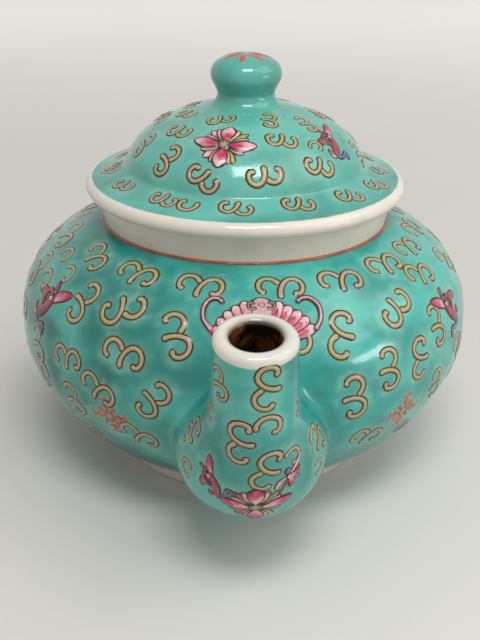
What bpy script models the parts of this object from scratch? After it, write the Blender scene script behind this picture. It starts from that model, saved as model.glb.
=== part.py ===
"""Squat porcelain teapot with a lift-off domed lid.

Metres, +Z up. The origin is on the table, on the axis that the pot is turned about.
The spout points along -Y and the loop handle along +Y.
"""
import math

import bmesh
import bpy
from mathutils import Matrix, Vector

# Pot body: outer shape, from the joint with the foot ring to the joint with the neck
belly_radius = 0.0720
belly_height = 0.0445
base_radius = 0.0450
neck_radius = 0.0449
neck_height = 0.0787
pot_wall = 0.0040
floor_thickness = 0.0042
lower_fullness = 1.74
upper_fullness = 2.64

# Foot ring
foot_inset = 0.0025
foot_height = 0.0056
foot_wall = 0.0046
foot_flare = 0.0007
foot_round = 0.0007

# Neck collar, the white upright rim that the lid sits on
collar_height = 0.0096
collar_wall = 0.0040
collar_flare = 0.0007
collar_round = 0.0009

# Lid: a domed cap with a drooping flange whose edge is a round bead
lid_overhang = 0.0047
lid_edge_radius = 0.0024
lid_edge_droop = 0.0020
lid_edge_turn = 80.0
dome_inset = 0.0030
dome_centre_rise = 0.0025
dome_base_rise = 0.0065
dome_rise = 0.0228
dome_fullness = 2.06
lid_wall = 0.0035

# Locating ring under the lid, which drops into the neck
ring_depth = 0.0085
ring_wall = 0.0035
ring_round = 0.0008
ring_clearance = 0.0008

# Vent in the lid, behind the knob
vent_radius = 0.0015
vent_setback = 0.0072

# Knob
knob_foot_radius = 0.0118
knob_neck_radius = 0.0087
knob_neck_rise = 0.0028
knob_radius = 0.0108
knob_belly_rise = 0.0088
knob_height = 0.0148
knob_fullness = 2.30

# Spout: its front and back are cubic curves in the plane of the spout. Their places are
# shares of how far the mouth stands out from the belly, and of the mouth's height.
spout_mouth_out = 0.0195
spout_mouth_lean = 7.5
spout_root_depth = 0.0220
spout_base_radius = 0.0206
spout_waist_radius = 0.0106
spout_lip_radius = 0.0102
spout_bore_radius = 0.0060
spout_wall = 0.0038
spout_lip_round = 0.0018
spout_base_share = 0.30
spout_waist_share = 0.84
spout_front_out_shares = (1.385, 1.487)
spout_front_height_shares = (0.247, 0.133, 0.533)
spout_back_out_shares = (0.103, 0.385)
spout_back_height_shares = (0.742, 0.742, 0.761)

# Strainer holes through the pot's wall behind the spout
strainer_hole_radius = 0.0022
strainer_land = 0.0028
strainer_ring_holes = 6

# Loop handle: an oval centre line between two heights, thicker where it joins the pot.
# Its two ends are angles round the oval, from the level of its middle.
handle_below_neck = 0.0065
handle_above_foot = 0.0142
handle_centre_depth = 0.0080
handle_half_depth = 0.0356
handle_lower_end = -118.0
handle_upper_end = 124.0
handle_width = 0.0124
handle_thickness = 0.0086
handle_root_share = 1.22

# Colours and roughness of the glazes and of the bare clay
turquoise = (0.17, 0.57, 0.54)
white = (0.74, 0.75, 0.72)
bare_white = (0.66, 0.67, 0.63)
glaze_roughness = 0.12
clay_roughness = 0.45

# Fits between pieces that touch on the real pot
joint_gap = 0.0003
seat_gap = 0.0003
cut_overrun = 0.0060
weld_distance = 0.000001

# Facets
turn_steps = 40
knob_steps = 28
spout_sides = 28
spout_stations = 14
handle_sides = 16
handle_stations = 26
hole_sides = 12
arc_steps = 9
round_steps = 3

# Sizes and places that follow from the ones above
foot_radius = base_radius - foot_inset
body_bottom = foot_height + joint_gap
floor_top = body_bottom + floor_thickness
rim_height = neck_height + joint_gap + collar_height
bore_radius = neck_radius - collar_wall
lid_radius = neck_radius + lid_overhang
dome_radius = bore_radius - dome_inset
vent_offset = knob_foot_radius + vent_setback + vent_radius
spout_mouth_height = neck_height
spout_root_share = (spout_front_height_shares[0] + spout_back_height_shares[0]) / 2.0
strainer_height = spout_mouth_height * spout_root_share
strainer_pitch = 2.0 * strainer_hole_radius + strainer_land
handle_top = neck_height - handle_below_neck
handle_bottom = foot_height + handle_above_foot
handle_centre_height = (handle_top + handle_bottom) / 2.0
handle_half_height = (handle_top - handle_bottom) / 2.0
handle_reach = belly_radius - handle_centre_depth


def clear_scene():
    """Remove every object that the file opened with."""
    for old in list(bpy.data.objects):
        bpy.data.objects.remove(old, do_unlink=True)


def clay(name, colour, roughness):
    """Principled material for one fired and glazed piece."""
    material = bpy.data.materials.new(name)
    material.use_nodes = True
    shader = material.node_tree.nodes["Principled BSDF"]
    shader.inputs["Base Color"].default_value = (*colour, 1.0)
    shader.inputs["Roughness"].default_value = roughness
    shader.inputs["Metallic"].default_value = 0.0
    return material


def make_object(name, bm, colour, roughness, parent=None, edge_angle=35.0):
    """Finish a mesh: merge, face outwards, shade smooth and place it in the scene."""
    bmesh.ops.remove_doubles(bm, verts=bm.verts, dist=weld_distance)
    bmesh.ops.recalc_face_normals(bm, faces=bm.faces)
    mesh = bpy.data.meshes.new(name)
    bm.to_mesh(mesh)
    bm.free()
    mesh.shade_smooth()
    mesh.set_sharp_from_angle(angle=math.radians(edge_angle))
    mesh.materials.append(clay(name + "_clay", colour, roughness))
    piece = bpy.data.objects.new(name, mesh)
    bpy.context.scene.collection.objects.link(piece)
    piece.parent = parent
    return piece


def make_cutter(name, bm):
    """A shape that only cuts others."""
    cutter = make_object(name, bm, (1.0, 1.0, 1.0), 1.0)
    cutter.hide_render = True
    cutter.display_type = "WIRE"
    return cutter


def cut(piece, cutter):
    """Take the cutter's shape out of the piece."""
    modifier = piece.modifiers.new("cut_by_" + cutter.name, "BOOLEAN")
    modifier.operation = "DIFFERENCE"
    modifier.object = cutter


def turned(profile, closed, steps=turn_steps):
    """Spin (radius, height) points a full turn about Z. A closed profile makes a ring."""
    bm = bmesh.new()
    verts = [bm.verts.new((radius, 0.0, height)) for radius, height in profile]
    edges = [bm.edges.new(pair) for pair in zip(verts, verts[1:])]
    if closed:
        edges.append(bm.edges.new((verts[-1], verts[0])))
    bmesh.ops.spin(
        bm, geom=verts + edges, cent=(0.0, 0.0, 0.0), axis=(0.0, 0.0, 1.0), dvec=(0.0, 0.0, 0.0),
        angle=math.tau, steps=steps, use_merge=True, use_duplicate=False,
    )
    return bm


def lofted(rings, closed):
    """Extrude a ring of points through a row of rings. An open row gets a cap at each end."""
    bm = bmesh.new()
    verts = [bm.verts.new(point) for point in rings[0]]
    edges = [bm.edges.new(pair) for pair in zip(verts, verts[1:] + verts[:1])]
    if not closed:
        bmesh.ops.contextual_create(bm, geom=edges)
    following = rings[1:] + rings[:1] if closed else rings[1:]
    for points in following:
        grown = bmesh.ops.extrude_edge_only(bm, edges=edges)["geom"]
        new_verts = {item for item in grown if isinstance(item, bmesh.types.BMVert)}
        partners = []
        for vert, point in zip(verts, points):
            reached = [edge.other_vert(vert) for edge in vert.link_edges]
            partner = next(other for other in reached if other in new_verts)
            partner.co = point
            partners.append(partner)
        verts = partners
        edges = [bm.edges.get(pair) for pair in zip(verts, verts[1:] + verts[:1])]
    if not closed:
        bmesh.ops.contextual_create(bm, geom=edges)
    return bm


def corner(centre_radius, centre_height, size, start, end, steps=round_steps):
    """Points of a rounded corner, from one angle to another in degrees."""
    points = []
    for step in range(steps + 1):
        angle = math.radians(start + (end - start) * step / steps)
        radius = centre_radius + size * math.cos(angle)
        points.append((radius, centre_height + size * math.sin(angle)))
    return points


def full_curve(radius, rise, fullness, start, end, centre_height):
    """Points of a fuller or leaner quarter oval about the axis, between two angles."""
    points = []
    for step in range(arc_steps + 1):
        angle = start + (end - start) * step / arc_steps
        across = radius * abs(math.cos(angle)) ** (2.0 / fullness)
        up = rise * abs(math.sin(angle)) ** (2.0 / fullness)
        points.append((across, centre_height + up))
    return points


def angle_at_radius(radius, full_radius, fullness):
    """Angle on a full curve where it comes in to a given radius."""
    return math.acos((radius / full_radius) ** (fullness / 2.0))


def angle_at_rise(rise, full_rise, fullness):
    """Angle on a full curve where it has gone up by a given rise."""
    return math.asin((rise / full_rise) ** (fullness / 2.0))


def rise_through(radius, rise, full_radius, fullness):
    """Full rise of the curve that passes through one radius at one rise."""
    angle = angle_at_radius(radius, full_radius, fullness)
    return rise / math.sin(angle) ** (2.0 / fullness)


lower_rise = rise_through(base_radius, belly_height - body_bottom, belly_radius, lower_fullness)
upper_rise = rise_through(neck_radius, neck_height - belly_height, belly_radius, upper_fullness)


def body_outside(gap=0.0):
    """Outer curve of the pot from its base up to the neck, grown by a gap."""
    widest = belly_radius + gap
    low = lower_rise + gap
    high = upper_rise + gap
    base_angle = angle_at_rise(belly_height - body_bottom, low, lower_fullness)
    neck_angle = angle_at_rise(neck_height - belly_height, high, upper_fullness)
    below = full_curve(widest, -low, lower_fullness, base_angle, 0.0, belly_height)
    above = full_curve(widest, high, upper_fullness, 0.0, neck_angle, belly_height)
    return below + above[1:]


def body_inside():
    """Inner curve of the pot from the mouth down to the floor."""
    widest = belly_radius - pot_wall
    low = lower_rise - pot_wall
    high = upper_rise - pot_wall
    mouth_angle = angle_at_radius(bore_radius, widest, upper_fullness)
    floor_angle = angle_at_rise(belly_height - floor_top, low, lower_fullness)
    above = full_curve(widest, high, upper_fullness, mouth_angle, 0.0, belly_height)
    below = full_curve(widest, -low, lower_fullness, 0.0, floor_angle, belly_height)
    return above + below[1:]


def make_pot_body():
    """Hollow squat body, open at the neck, with strainer holes behind the spout."""
    profile = [(0.0, body_bottom)] + body_outside()
    profile += [(bore_radius, neck_height)] + body_inside() + [(0.0, floor_top)]
    return make_object("pot_body", turned(profile, closed=False), turquoise, glaze_roughness)


def make_strainer_cutter():
    """One centre hole and a ring of holes round it, through the wall behind the spout."""
    bm = bmesh.new()
    reach = belly_radius - pot_wall / 2.0
    places = [(0.0, 0.0)]
    for step in range(strainer_ring_holes):
        angle = math.tau * step / strainer_ring_holes
        places.append((strainer_pitch * math.cos(angle), strainer_pitch * math.sin(angle)))
    for across, up in places:
        centre = Vector((across, -reach, strainer_height + up))
        bmesh.ops.create_cone(
            bm, cap_ends=True, segments=hole_sides, radius1=strainer_hole_radius,
            radius2=strainer_hole_radius, depth=2.0 * (pot_wall + cut_overrun),
            matrix=Matrix.Translation(centre) @ Matrix.Rotation(math.pi / 2.0, 4, "X"),
        )
    return make_cutter("strainer_cutter", bm)


def make_body_cutter():
    """The pot's outer shape grown by the joint gap, which spout and handle butt against."""
    outside = body_outside(joint_gap)
    profile = [(0.0, outside[0][1])] + outside + [(0.0, outside[-1][1])]
    return make_cutter("body_cutter", turned(profile, closed=False))


def make_foot_ring():
    """Low ring that the pot stands on, flat underneath and glazed only outside."""
    inner = foot_radius - foot_wall
    profile = corner(foot_radius - foot_round, foot_round, foot_round, -90.0, 0.0)
    profile += [(foot_radius + foot_flare, foot_height), (inner, foot_height)]
    profile += corner(inner + foot_round, foot_round, foot_round, 180.0, 270.0)
    return make_object("foot_ring", turned(profile, closed=True), bare_white, clay_roughness)


def make_neck_collar():
    """Upright white rim, slightly flared, on top of the body."""
    bottom = neck_height + joint_gap
    outer = neck_radius + collar_flare
    profile = [(bore_radius, bottom), (neck_radius, bottom)]
    profile += corner(outer - collar_round, rim_height - collar_round, collar_round, 0.0, 90.0)
    profile += corner(bore_radius + collar_round, rim_height - collar_round, collar_round, 90.0, 180.0)
    return make_object("neck_collar", turned(profile, closed=True), white, glaze_roughness)


def cubic(share, points):
    """Point on the cubic curve through the first and last of four points."""
    rest = 1.0 - share
    first, first_pull, last_pull, last = (Vector(point) for point in points)
    start = rest ** 3 * first + 3.0 * rest ** 2 * share * first_pull
    return start + 3.0 * rest * share ** 2 * last_pull + share ** 3 * last


def spout_line(side, out_shares, height_shares):
    """Front (side 1) or back (side -1) line of the spout, as four points of reach and height."""
    lean = math.radians(spout_mouth_lean)
    reaches = [belly_radius - spout_root_depth]
    reaches += [belly_radius + spout_mouth_out * share for share in out_shares]
    heights = [spout_mouth_height * share for share in height_shares]
    tip_reach = belly_radius + spout_mouth_out + side * spout_lip_radius * math.cos(lean)
    tip_height = spout_mouth_height - side * spout_lip_radius * math.sin(lean)
    return list(zip(reaches, heights)) + [(tip_reach, tip_height)]


def eased(share):
    """Smooth rise from 0 to 1."""
    inside = min(max(share, 0.0), 1.0)
    return inside * inside * (3.0 - 2.0 * inside)


def spout_half_width(share):
    """Half the spout's width: a wide base drawn in to a waist, then nearly straight to the lip."""
    draw = eased((share - spout_base_share) / (spout_waist_share - spout_base_share))
    lip = eased((share - spout_waist_share) / (1.0 - spout_waist_share))
    drawn = spout_base_radius + (spout_waist_radius - spout_base_radius) * draw
    return drawn + (spout_lip_radius - spout_waist_radius) * lip


def spout_ring(share, wall, lift=0.0):
    """Oval section between the front and back lines, drawn in by a wall and lifted off its plane."""
    front = cubic(share, spout_line(1.0, spout_front_out_shares, spout_front_height_shares))
    back = cubic(share, spout_line(-1.0, spout_back_out_shares, spout_back_height_shares))
    middle = (front + back) / 2.0
    half = (front - back) / 2.0
    across = Vector((spout_half_width(share) - wall, 0.0, 0.0))
    deep = Vector((0.0, -half.x, half.y)).normalized() * (half.length - wall)
    outward = across.cross(deep).normalized()
    centre = Vector((0.0, -middle.x, middle.y)) - outward * lift
    points = []
    for step in range(spout_sides):
        angle = math.tau * step / spout_sides
        points.append(centre + across * math.cos(angle) + deep * math.sin(angle))
    return points


def make_spout(body_cutter):
    """Hollow spout with a bulbous base that butts against the pot and a thick round lip."""
    lip_wall = spout_lip_radius - spout_bore_radius
    shares = [step / spout_stations for step in range(spout_stations + 1)]
    rings = []
    for share in reversed(shares):
        close = eased((share - spout_base_share) / (1.0 - spout_base_share))
        rings.append(spout_ring(share, spout_wall + (lip_wall - spout_wall) * close))
    for share in shares:
        rings.append(spout_ring(share, 0.0))
    for step in range(1, 2 * round_steps):
        angle = math.pi * step / (2 * round_steps)
        wall = lip_wall * (1.0 - math.cos(angle)) / 2.0
        rings.append(spout_ring(1.0, wall, spout_lip_round * math.sin(angle)))
    spout = make_object("spout", lofted(rings, closed=True), turquoise, glaze_roughness)
    cut(spout, body_cutter)
    return spout


def make_loop_handle(body_cutter):
    """Loop of oval section behind the pot, its two roots butted against the body."""
    rings = []
    first = math.radians(handle_lower_end)
    last = math.radians(handle_upper_end)
    for station in range(handle_stations + 1):
        share = station / handle_stations
        angle = first + (last - first) * share
        reach = handle_reach + handle_half_depth * math.cos(angle)
        height = handle_centre_height + handle_half_height * math.sin(angle)
        outward = Vector((0.0, handle_half_height * math.cos(angle), handle_half_depth * math.sin(angle)))
        outward.normalize()
        swell = 1.0 + (handle_root_share - 1.0) * abs(2.0 * share - 1.0) ** 3
        points = []
        for step in range(handle_sides):
            turn = math.tau * step / handle_sides
            across = Vector((handle_width / 2.0 * math.cos(turn), 0.0, 0.0))
            deep = outward * (handle_thickness / 2.0 * math.sin(turn))
            points.append(Vector((0.0, reach, height)) + (across + deep) * swell)
        rings.append(points)
    handle = make_object("loop_handle", lofted(rings, closed=False), turquoise, glaze_roughness)
    cut(handle, body_cutter)
    return handle


def make_lid_axis():
    """Empty at the middle of the rim, which the lid lifts from and turns about."""
    axis = bpy.data.objects.new("lid_axis", None)
    axis.location = (0.0, 0.0, rim_height)
    bpy.context.scene.collection.objects.link(axis)
    return axis


def make_lid_dome(lid_axis):
    """Hollow domed cap. Heights are above the rim of the pot."""
    hollow_radius = dome_radius - lid_wall
    base_angle = angle_at_rise(dome_base_rise - dome_centre_rise, dome_rise, dome_fullness)
    seat_width = neck_radius + collar_flare
    bead_height = seat_gap + lid_edge_radius - lid_edge_droop
    bead_centre = lid_radius - lid_edge_radius
    crown_angle = angle_at_radius(knob_foot_radius, dome_radius, dome_fullness)
    inside_angle = math.pi / 2.0
    inside_rise = dome_rise - lid_wall
    profile = full_curve(hollow_radius, inside_rise, dome_fullness, inside_angle, 0.0, dome_centre_rise)
    profile += [(hollow_radius, seat_gap), (seat_width, seat_gap)]
    profile += corner(bead_centre, bead_height, lid_edge_radius, -90.0, lid_edge_turn, 2 * round_steps)
    outside = full_curve(dome_radius, dome_rise, dome_fullness, base_angle, crown_angle, dome_centre_rise)
    profile += outside + [(0.0, outside[-1][1])]
    lid = make_object("lid_dome", turned(profile, closed=False), turquoise, glaze_roughness, lid_axis)
    cut(lid, make_vent_cutter(lid_axis))
    return lid


def make_vent_cutter(lid_axis):
    """Small steam hole straight down through the dome, behind the knob."""
    bm = bmesh.new()
    bmesh.ops.create_cone(
        bm, cap_ends=True, segments=hole_sides, radius1=vent_radius, radius2=vent_radius,
        depth=dome_rise + cut_overrun,
        matrix=Matrix.Translation((0.0, vent_offset, dome_centre_rise + dome_rise)),
    )
    cutter = make_cutter("vent_cutter", bm)
    cutter.parent = lid_axis
    return cutter


def make_locating_ring(lid_axis):
    """Unglazed ring under the lid that keeps it centred in the neck."""
    outer = bore_radius - ring_clearance
    inner = outer - ring_wall
    profile = [(inner, 0.0), (outer, 0.0)]
    low = ring_round - ring_depth
    profile += corner(outer - ring_round, low, ring_round, 0.0, -90.0)
    profile += corner(inner + ring_round, low, ring_round, -90.0, -180.0)
    ring = turned(profile, closed=True)
    return make_object("lid_locating_ring", ring, bare_white, clay_roughness, lid_axis)


def make_lid_knob(lid_axis):
    """Round knob on a short waisted stem."""
    crown_angle = angle_at_radius(knob_foot_radius, dome_radius, dome_fullness)
    crown = dome_rise * math.sin(crown_angle) ** (2.0 / dome_fullness)
    seat = dome_centre_rise + crown + joint_gap
    profile = [(0.0, seat), (knob_foot_radius, seat)]
    for step in range(1, arc_steps):
        share = step / arc_steps
        radius = knob_foot_radius + (knob_neck_radius - knob_foot_radius) * math.sin(share * math.pi / 2.0)
        height = seat + knob_neck_rise * (1.0 - math.cos(share * math.pi / 2.0))
        profile.append((radius, height))
    for step in range(arc_steps):
        share = step / arc_steps
        radius = knob_neck_radius + (knob_radius - knob_neck_radius) * eased(share)
        height = seat + knob_neck_rise + (knob_belly_rise - knob_neck_rise) * share
        profile.append((radius, height))
    crown_rise = knob_height - knob_belly_rise
    profile += full_curve(knob_radius, crown_rise, knob_fullness, 0.0, math.pi / 2.0, seat + knob_belly_rise)
    knob = turned(profile, closed=False, steps=knob_steps)
    return make_object("lid_knob", knob, turquoise, glaze_roughness, lid_axis)


def main():
    clear_scene()
    pot_body = make_pot_body()
    cut(pot_body, make_strainer_cutter())
    body_cutter = make_body_cutter()
    make_foot_ring()
    make_neck_collar()
    make_spout(body_cutter)
    make_loop_handle(body_cutter)
    lid_axis = make_lid_axis()
    make_lid_dome(lid_axis)
    make_locating_ring(lid_axis)
    make_lid_knob(lid_axis)


main()
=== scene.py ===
"""Looks of a hand-painted porcelain teapot: glazed clay round the CAD frame, and raised enamels.

Metres, +Z up. The spout points along -Y and the loop handle along +Y. Angles round the pot
are counted from the spout towards +X. The enamel drawings are in millimetres.
"""
import math

import bmesh
import bpy
import numpy as np
from mathutils import Matrix, Vector, kdtree


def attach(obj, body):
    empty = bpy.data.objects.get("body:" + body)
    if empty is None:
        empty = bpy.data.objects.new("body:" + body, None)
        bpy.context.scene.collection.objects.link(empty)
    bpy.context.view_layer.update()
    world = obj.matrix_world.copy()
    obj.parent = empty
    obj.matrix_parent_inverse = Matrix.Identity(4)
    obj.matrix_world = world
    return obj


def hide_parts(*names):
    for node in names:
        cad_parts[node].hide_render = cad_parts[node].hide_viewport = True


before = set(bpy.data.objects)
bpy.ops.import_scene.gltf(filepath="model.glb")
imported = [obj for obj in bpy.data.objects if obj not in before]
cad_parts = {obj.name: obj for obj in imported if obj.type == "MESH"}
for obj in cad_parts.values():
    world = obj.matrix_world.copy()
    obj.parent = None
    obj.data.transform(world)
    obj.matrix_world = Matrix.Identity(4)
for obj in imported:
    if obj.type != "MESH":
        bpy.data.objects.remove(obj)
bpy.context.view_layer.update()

mm = 0.001

# Sizes that the CAD has
belly_radius = 0.0720
belly_height = 0.0445
base_radius = 0.0450
neck_radius = 0.0449
neck_height = 0.0787
pot_wall = 0.0040
floor_thickness = 0.0042
lower_fullness = 1.74
upper_fullness = 2.64
foot_radius = 0.0425
foot_height = 0.0056
foot_wall = 0.0046
foot_flare = 0.0007
foot_round = 0.0007
collar_height = 0.0096
collar_flare = 0.0007
collar_round = 0.0009
bore_radius = 0.0409
lid_radius = 0.0496
lid_edge_radius = 0.0024
lid_edge_droop = 0.0020
lid_edge_turn = 80.0
dome_radius = 0.0379
dome_centre_rise = 0.0025
dome_base_rise = 0.0065
dome_rise = 0.0228
dome_fullness = 2.06
lid_wall = 0.0035
ring_depth = 0.0085
ring_wall = 0.0035
ring_round = 0.0008
ring_clearance = 0.0008
vent_radius = 0.0015
vent_offset = 0.0205
knob_foot_radius = 0.0118
knob_neck_radius = 0.0087
knob_neck_rise = 0.0028
knob_radius = 0.0108
knob_belly_rise = 0.0088
knob_height = 0.0148
knob_fullness = 2.30
spout_mouth_out = 0.0195
spout_mouth_lean = 7.5
spout_root_depth = 0.0220
spout_base_radius = 0.0206
spout_waist_radius = 0.0106
spout_lip_radius = 0.0102
spout_bore_radius = 0.0060
spout_wall = 0.0038
spout_lip_round = 0.0018
spout_base_share = 0.30
spout_waist_share = 0.84
spout_front_out_shares = (1.385, 1.487)
spout_front_height_shares = (0.247, 0.133, 0.533)
spout_back_out_shares = (0.103, 0.385)
spout_back_height_shares = (0.742, 0.742, 0.761)
strainer_height = 0.0389
strainer_hole_radius = 0.0022
strainer_pitch = 0.0072
strainer_ring_holes = 6
handle_centre_reach = 0.0640
handle_centre_height = 0.0460
handle_half_height = 0.0262
handle_half_depth = 0.0356
handle_lower_end = -118.0
handle_upper_end = 124.0
handle_width = 0.0124
handle_thickness = 0.0086
handle_root_share = 1.22
joint_gap = 0.0003
seat_gap = 0.0003
body_bottom = foot_height + joint_gap
floor_top = body_bottom + floor_thickness
rim_height = neck_height + joint_gap + collar_height
weld_distance = 0.000001
cutter_length = 5.0 * pot_wall

# Shapes that only the looks have. The pear is how much narrower the top of the spout's root is
# than its bulb. The overlaps close the fused joints.
spout_pear = 0.50
spout_pear_spread = 1.3
spout_taper = 0.86
spout_fillet = 0.0046
spout_front_ease = 0.0008
handle_fillet = 0.0042
fillet_sink = 0.0005
bore_overrun = 0.0005
base_round = 0.0009
joint_overlap = 0.0006
foot_overlap = 0.0004
collar_tuck = 0.0002
collar_straight = 0.0008
bore_ease = 0.00005
flange_hollow = 0.05
knob_skirt = 0.0030
knob_skirt_sink = 0.00015
knob_flare_out = 0.0001
knob_flare_pull = (0.0004, -0.0002)

# Where the white shows at the lip and at the lid's edge, and how far the paler ground reaches
white_lip_depth = 0.0014
white_edge_reach = 0.0019
white_edge_fade = 0.0016
halo_reach = 0.0019
# How the tea stain, darkened with painted shade, fades from the bore over the lip
tea_stain_and_shade_fade = (1.0, 0.85, 0.40, 0.10)

# Fineness: steps along and round each surface
curve_steps = 400
line_steps = 600
share_steps = 800
skin_lengths = 700
skin_rounds = 720
spout_skin_steps = (180, 240)
handle_skin_steps = (90, 400)
fillet_steps = 9
turn_steps = 240
knob_turn_steps = 120
meridian_steps = 110
inside_steps = 46
spout_sides = 96
spout_stations = 72
bore_stations = 26
lip_steps = 10
handle_sides = 40
handle_stations = 96
lid_top_steps = 74
lid_under_steps = 30
hollow_steps = 12
flare_steps = 40
knob_steps = 70
hole_sides = 24


# Curves and surfaces

def full_curve(radius, rise, fullness, start, end, centre_height):
    """Points of a fuller or leaner quarter oval about the axis, between two angles."""
    angles = np.linspace(start, end, curve_steps + 1)
    across = radius * np.abs(np.cos(angles)) ** (2.0 / fullness)
    up = rise * np.abs(np.sin(angles)) ** (2.0 / fullness)
    return np.stack([across, centre_height + up], axis=1)


def angle_at_radius(radius, full_radius, fullness):
    return math.acos((radius / full_radius) ** (fullness / 2.0))


def angle_at_rise(rise, full_rise, fullness):
    return math.asin((rise / full_rise) ** (fullness / 2.0))


def rise_through(radius, rise, full_radius, fullness):
    """Full rise of the curve that passes through one radius at one rise."""
    angle = angle_at_radius(radius, full_radius, fullness)
    return rise / math.sin(angle) ** (2.0 / fullness)


def lengths_along(points):
    """Distance along a line of points, from its first."""
    steps = np.linalg.norm(np.diff(points, axis=0), axis=1)
    return np.concatenate([[0.0], np.cumsum(steps)])


def at_lengths(points, along, wanted):
    """Points at wanted distances along a line, from the distances of its own points."""
    return np.stack([np.interp(wanted, along, column) for column in points.T], axis=1)


def evenly(points, count):
    """The same line with its points evenly spaced."""
    points = np.asarray(points, float)
    along = lengths_along(points)
    return at_lengths(points, along, np.linspace(0.0, along[-1], count))


def bend(share, start, pull, end):
    """Points at shares of a bend from one point to another, drawn towards a third."""
    share = share[:, None]
    return (1.0 - share) ** 2 * start + 2.0 * share * (1.0 - share) * pull + share ** 2 * end


def corner(centre_radius, centre_height, size, start, end, steps=8):
    """Points of a rounded corner, from one angle to another in degrees."""
    angles = np.radians(np.linspace(start, end, steps + 1))
    across = centre_radius + size * np.cos(angles)
    return np.stack([across, centre_height + size * np.sin(angles)], axis=1)


def eased(share):
    """Smooth rise from 0 to 1."""
    inside = np.clip(share, 0.0, 1.0)
    return inside * inside * (3.0 - 2.0 * inside)


lower_rise = rise_through(base_radius, belly_height - body_bottom, belly_radius, lower_fullness)
upper_rise = rise_through(neck_radius, neck_height - belly_height, belly_radius, upper_fullness)


def pot_outside():
    """Outer curve of the pot from its base up to the neck."""
    base_angle = angle_at_rise(belly_height - body_bottom, lower_rise, lower_fullness)
    neck_angle = angle_at_rise(neck_height - belly_height, upper_rise, upper_fullness)
    below = full_curve(belly_radius, -lower_rise, lower_fullness, base_angle, 0.0, belly_height)
    above = full_curve(belly_radius, upper_rise, upper_fullness, 0.0, neck_angle, belly_height)
    return np.concatenate([below, above[1:]])


def pot_inside():
    """Inner curve of the pot from the mouth down to the floor."""
    widest = belly_radius - pot_wall
    low = lower_rise - pot_wall
    high = upper_rise - pot_wall
    mouth_angle = angle_at_radius(bore_radius, widest, upper_fullness)
    floor_angle = angle_at_rise(belly_height - floor_top, low, lower_fullness)
    above = full_curve(widest, high, upper_fullness, mouth_angle, 0.0, belly_height)
    below = full_curve(widest, -low, lower_fullness, 0.0, floor_angle, belly_height)
    return np.concatenate([above, below[1:]])


outside_curve = pot_outside()


class Skin:
    """A smooth surface as a dense grid: angles round it by shares along it."""

    def __init__(self, grid):
        self.grid = grid
        self.rounds, self.lengths = grid.shape[:2]

    def point(self, angle, share):
        across = (angle / math.tau % 1.0) * self.rounds
        along = np.clip(share, 0.0, 1.0) * (self.lengths - 1)
        left = np.floor(across).astype(int) % self.rounds
        low = np.minimum(np.floor(along).astype(int), self.lengths - 2)
        right = (left + 1) % self.rounds
        side = (across - np.floor(across))[:, None]
        up = (along - low)[:, None]
        lower = self.grid[left, low] * (1.0 - side) + self.grid[right, low] * side
        upper = self.grid[left, low + 1] * (1.0 - side) + self.grid[right, low + 1] * side
        return lower * (1.0 - up) + upper * up

    def slopes(self, angle, share):
        """How the point moves with the angle and with the share."""
        turn = 2.0 * math.tau / self.rounds
        step = 2.0 / self.lengths
        low = np.clip(share - step, 0.0, 1.0)
        high = np.clip(share + step, 0.0, 1.0)
        round_it = (self.point(angle + turn, share) - self.point(angle - turn, share)) / (2.0 * turn)
        along_it = (self.point(angle, high) - self.point(angle, low)) / (high - low)[:, None]
        return round_it, along_it

    def share_at(self, angle, height):
        """Share of the last place, from the far end, where the line at an angle has a height."""
        shares = np.linspace(1.0, 0.0, share_steps)
        heights = self.point(np.full(share_steps, angle), shares)[:, 2]
        below = (heights - height) * (heights[0] - height) <= 0.0
        return shares[int(np.argmax(below))]


def turned_skin(profile):
    """Skin of a surface turned about the axis, along a line of (radius, height) points."""
    line = evenly(profile, skin_lengths)
    angles = np.arange(skin_rounds) * math.tau / skin_rounds
    radius = line[None, :, 0]
    across = radius * np.sin(angles)[:, None]
    forward = -radius * np.cos(angles)[:, None]
    height = np.broadcast_to(line[None, :, 1], across.shape)
    return Skin(np.stack([across, forward, height], axis=2))


def pot_clearance(points):
    """Roughly how far points are outside the pot's outer curve."""
    radius = np.hypot(points[:, 0], points[:, 1])
    return radius - np.interp(points[:, 2], outside_curve[:, 1], outside_curve[:, 0])


def onto_pot(point):
    """Nearest point of the pot's outer surface, and the direction straight out of it there."""
    radius = math.hypot(point[0], point[1])
    gaps = np.hypot(outside_curve[:, 0] - radius, outside_curve[:, 1] - point[2])
    place = min(max(int(np.argmin(gaps)), 2), len(outside_curve) - 3)
    near = outside_curve[place]
    along = outside_curve[place + 2] - outside_curve[place - 2]
    along = along / np.linalg.norm(along)
    out = np.array([point[0], point[1], 0.0]) / radius
    rise = np.array([0.0, 0.0, 1.0])
    return out * near[0] + rise * near[1], out * along[1] - rise * along[0]


def filleted(lines, sizes, stations):
    """Lines that run into the pot, each ended by a fillet that lies down on its surface."""
    hits = []
    shafts = []
    for line in lines:
        clear = pot_clearance(line)
        last = max(int(np.argmax(clear < 0.0)), 1)
        share = clear[last - 1] / (clear[last - 1] - clear[last])
        hit = line[last - 1] + (line[last] - line[last - 1]) * share
        hits.append(hit)
        shafts.append(np.concatenate([line[:last], [hit]]))
    hits = np.array(hits)
    middle = hits.mean(axis=0)
    ahead = np.roll(hits, -1, axis=0) - np.roll(hits, 1, axis=0)
    ended = []
    for line, hit, tangent, size in zip(shafts, hits, ahead, sizes):
        away = np.cross(onto_pot(hit)[1], tangent)
        away = away / np.linalg.norm(away)
        if away @ (hit - middle) < 0.0:
            away = -away
        along = lengths_along(line)
        shaft = at_lengths(line, along, np.linspace(0.0, along[-1] - size, stations))
        foot = onto_pot(hit + away * size)[0]
        curve = bend(np.linspace(0.0, 1.0, fillet_steps + 1)[1:], shaft[-1], hit, foot)
        edge, edge_out = onto_pot(hit + away * (size + fillet_sink))
        ended.append(np.concatenate([shaft, curve, [edge - edge_out * fillet_sink]]))
    return np.array(ended)


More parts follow.
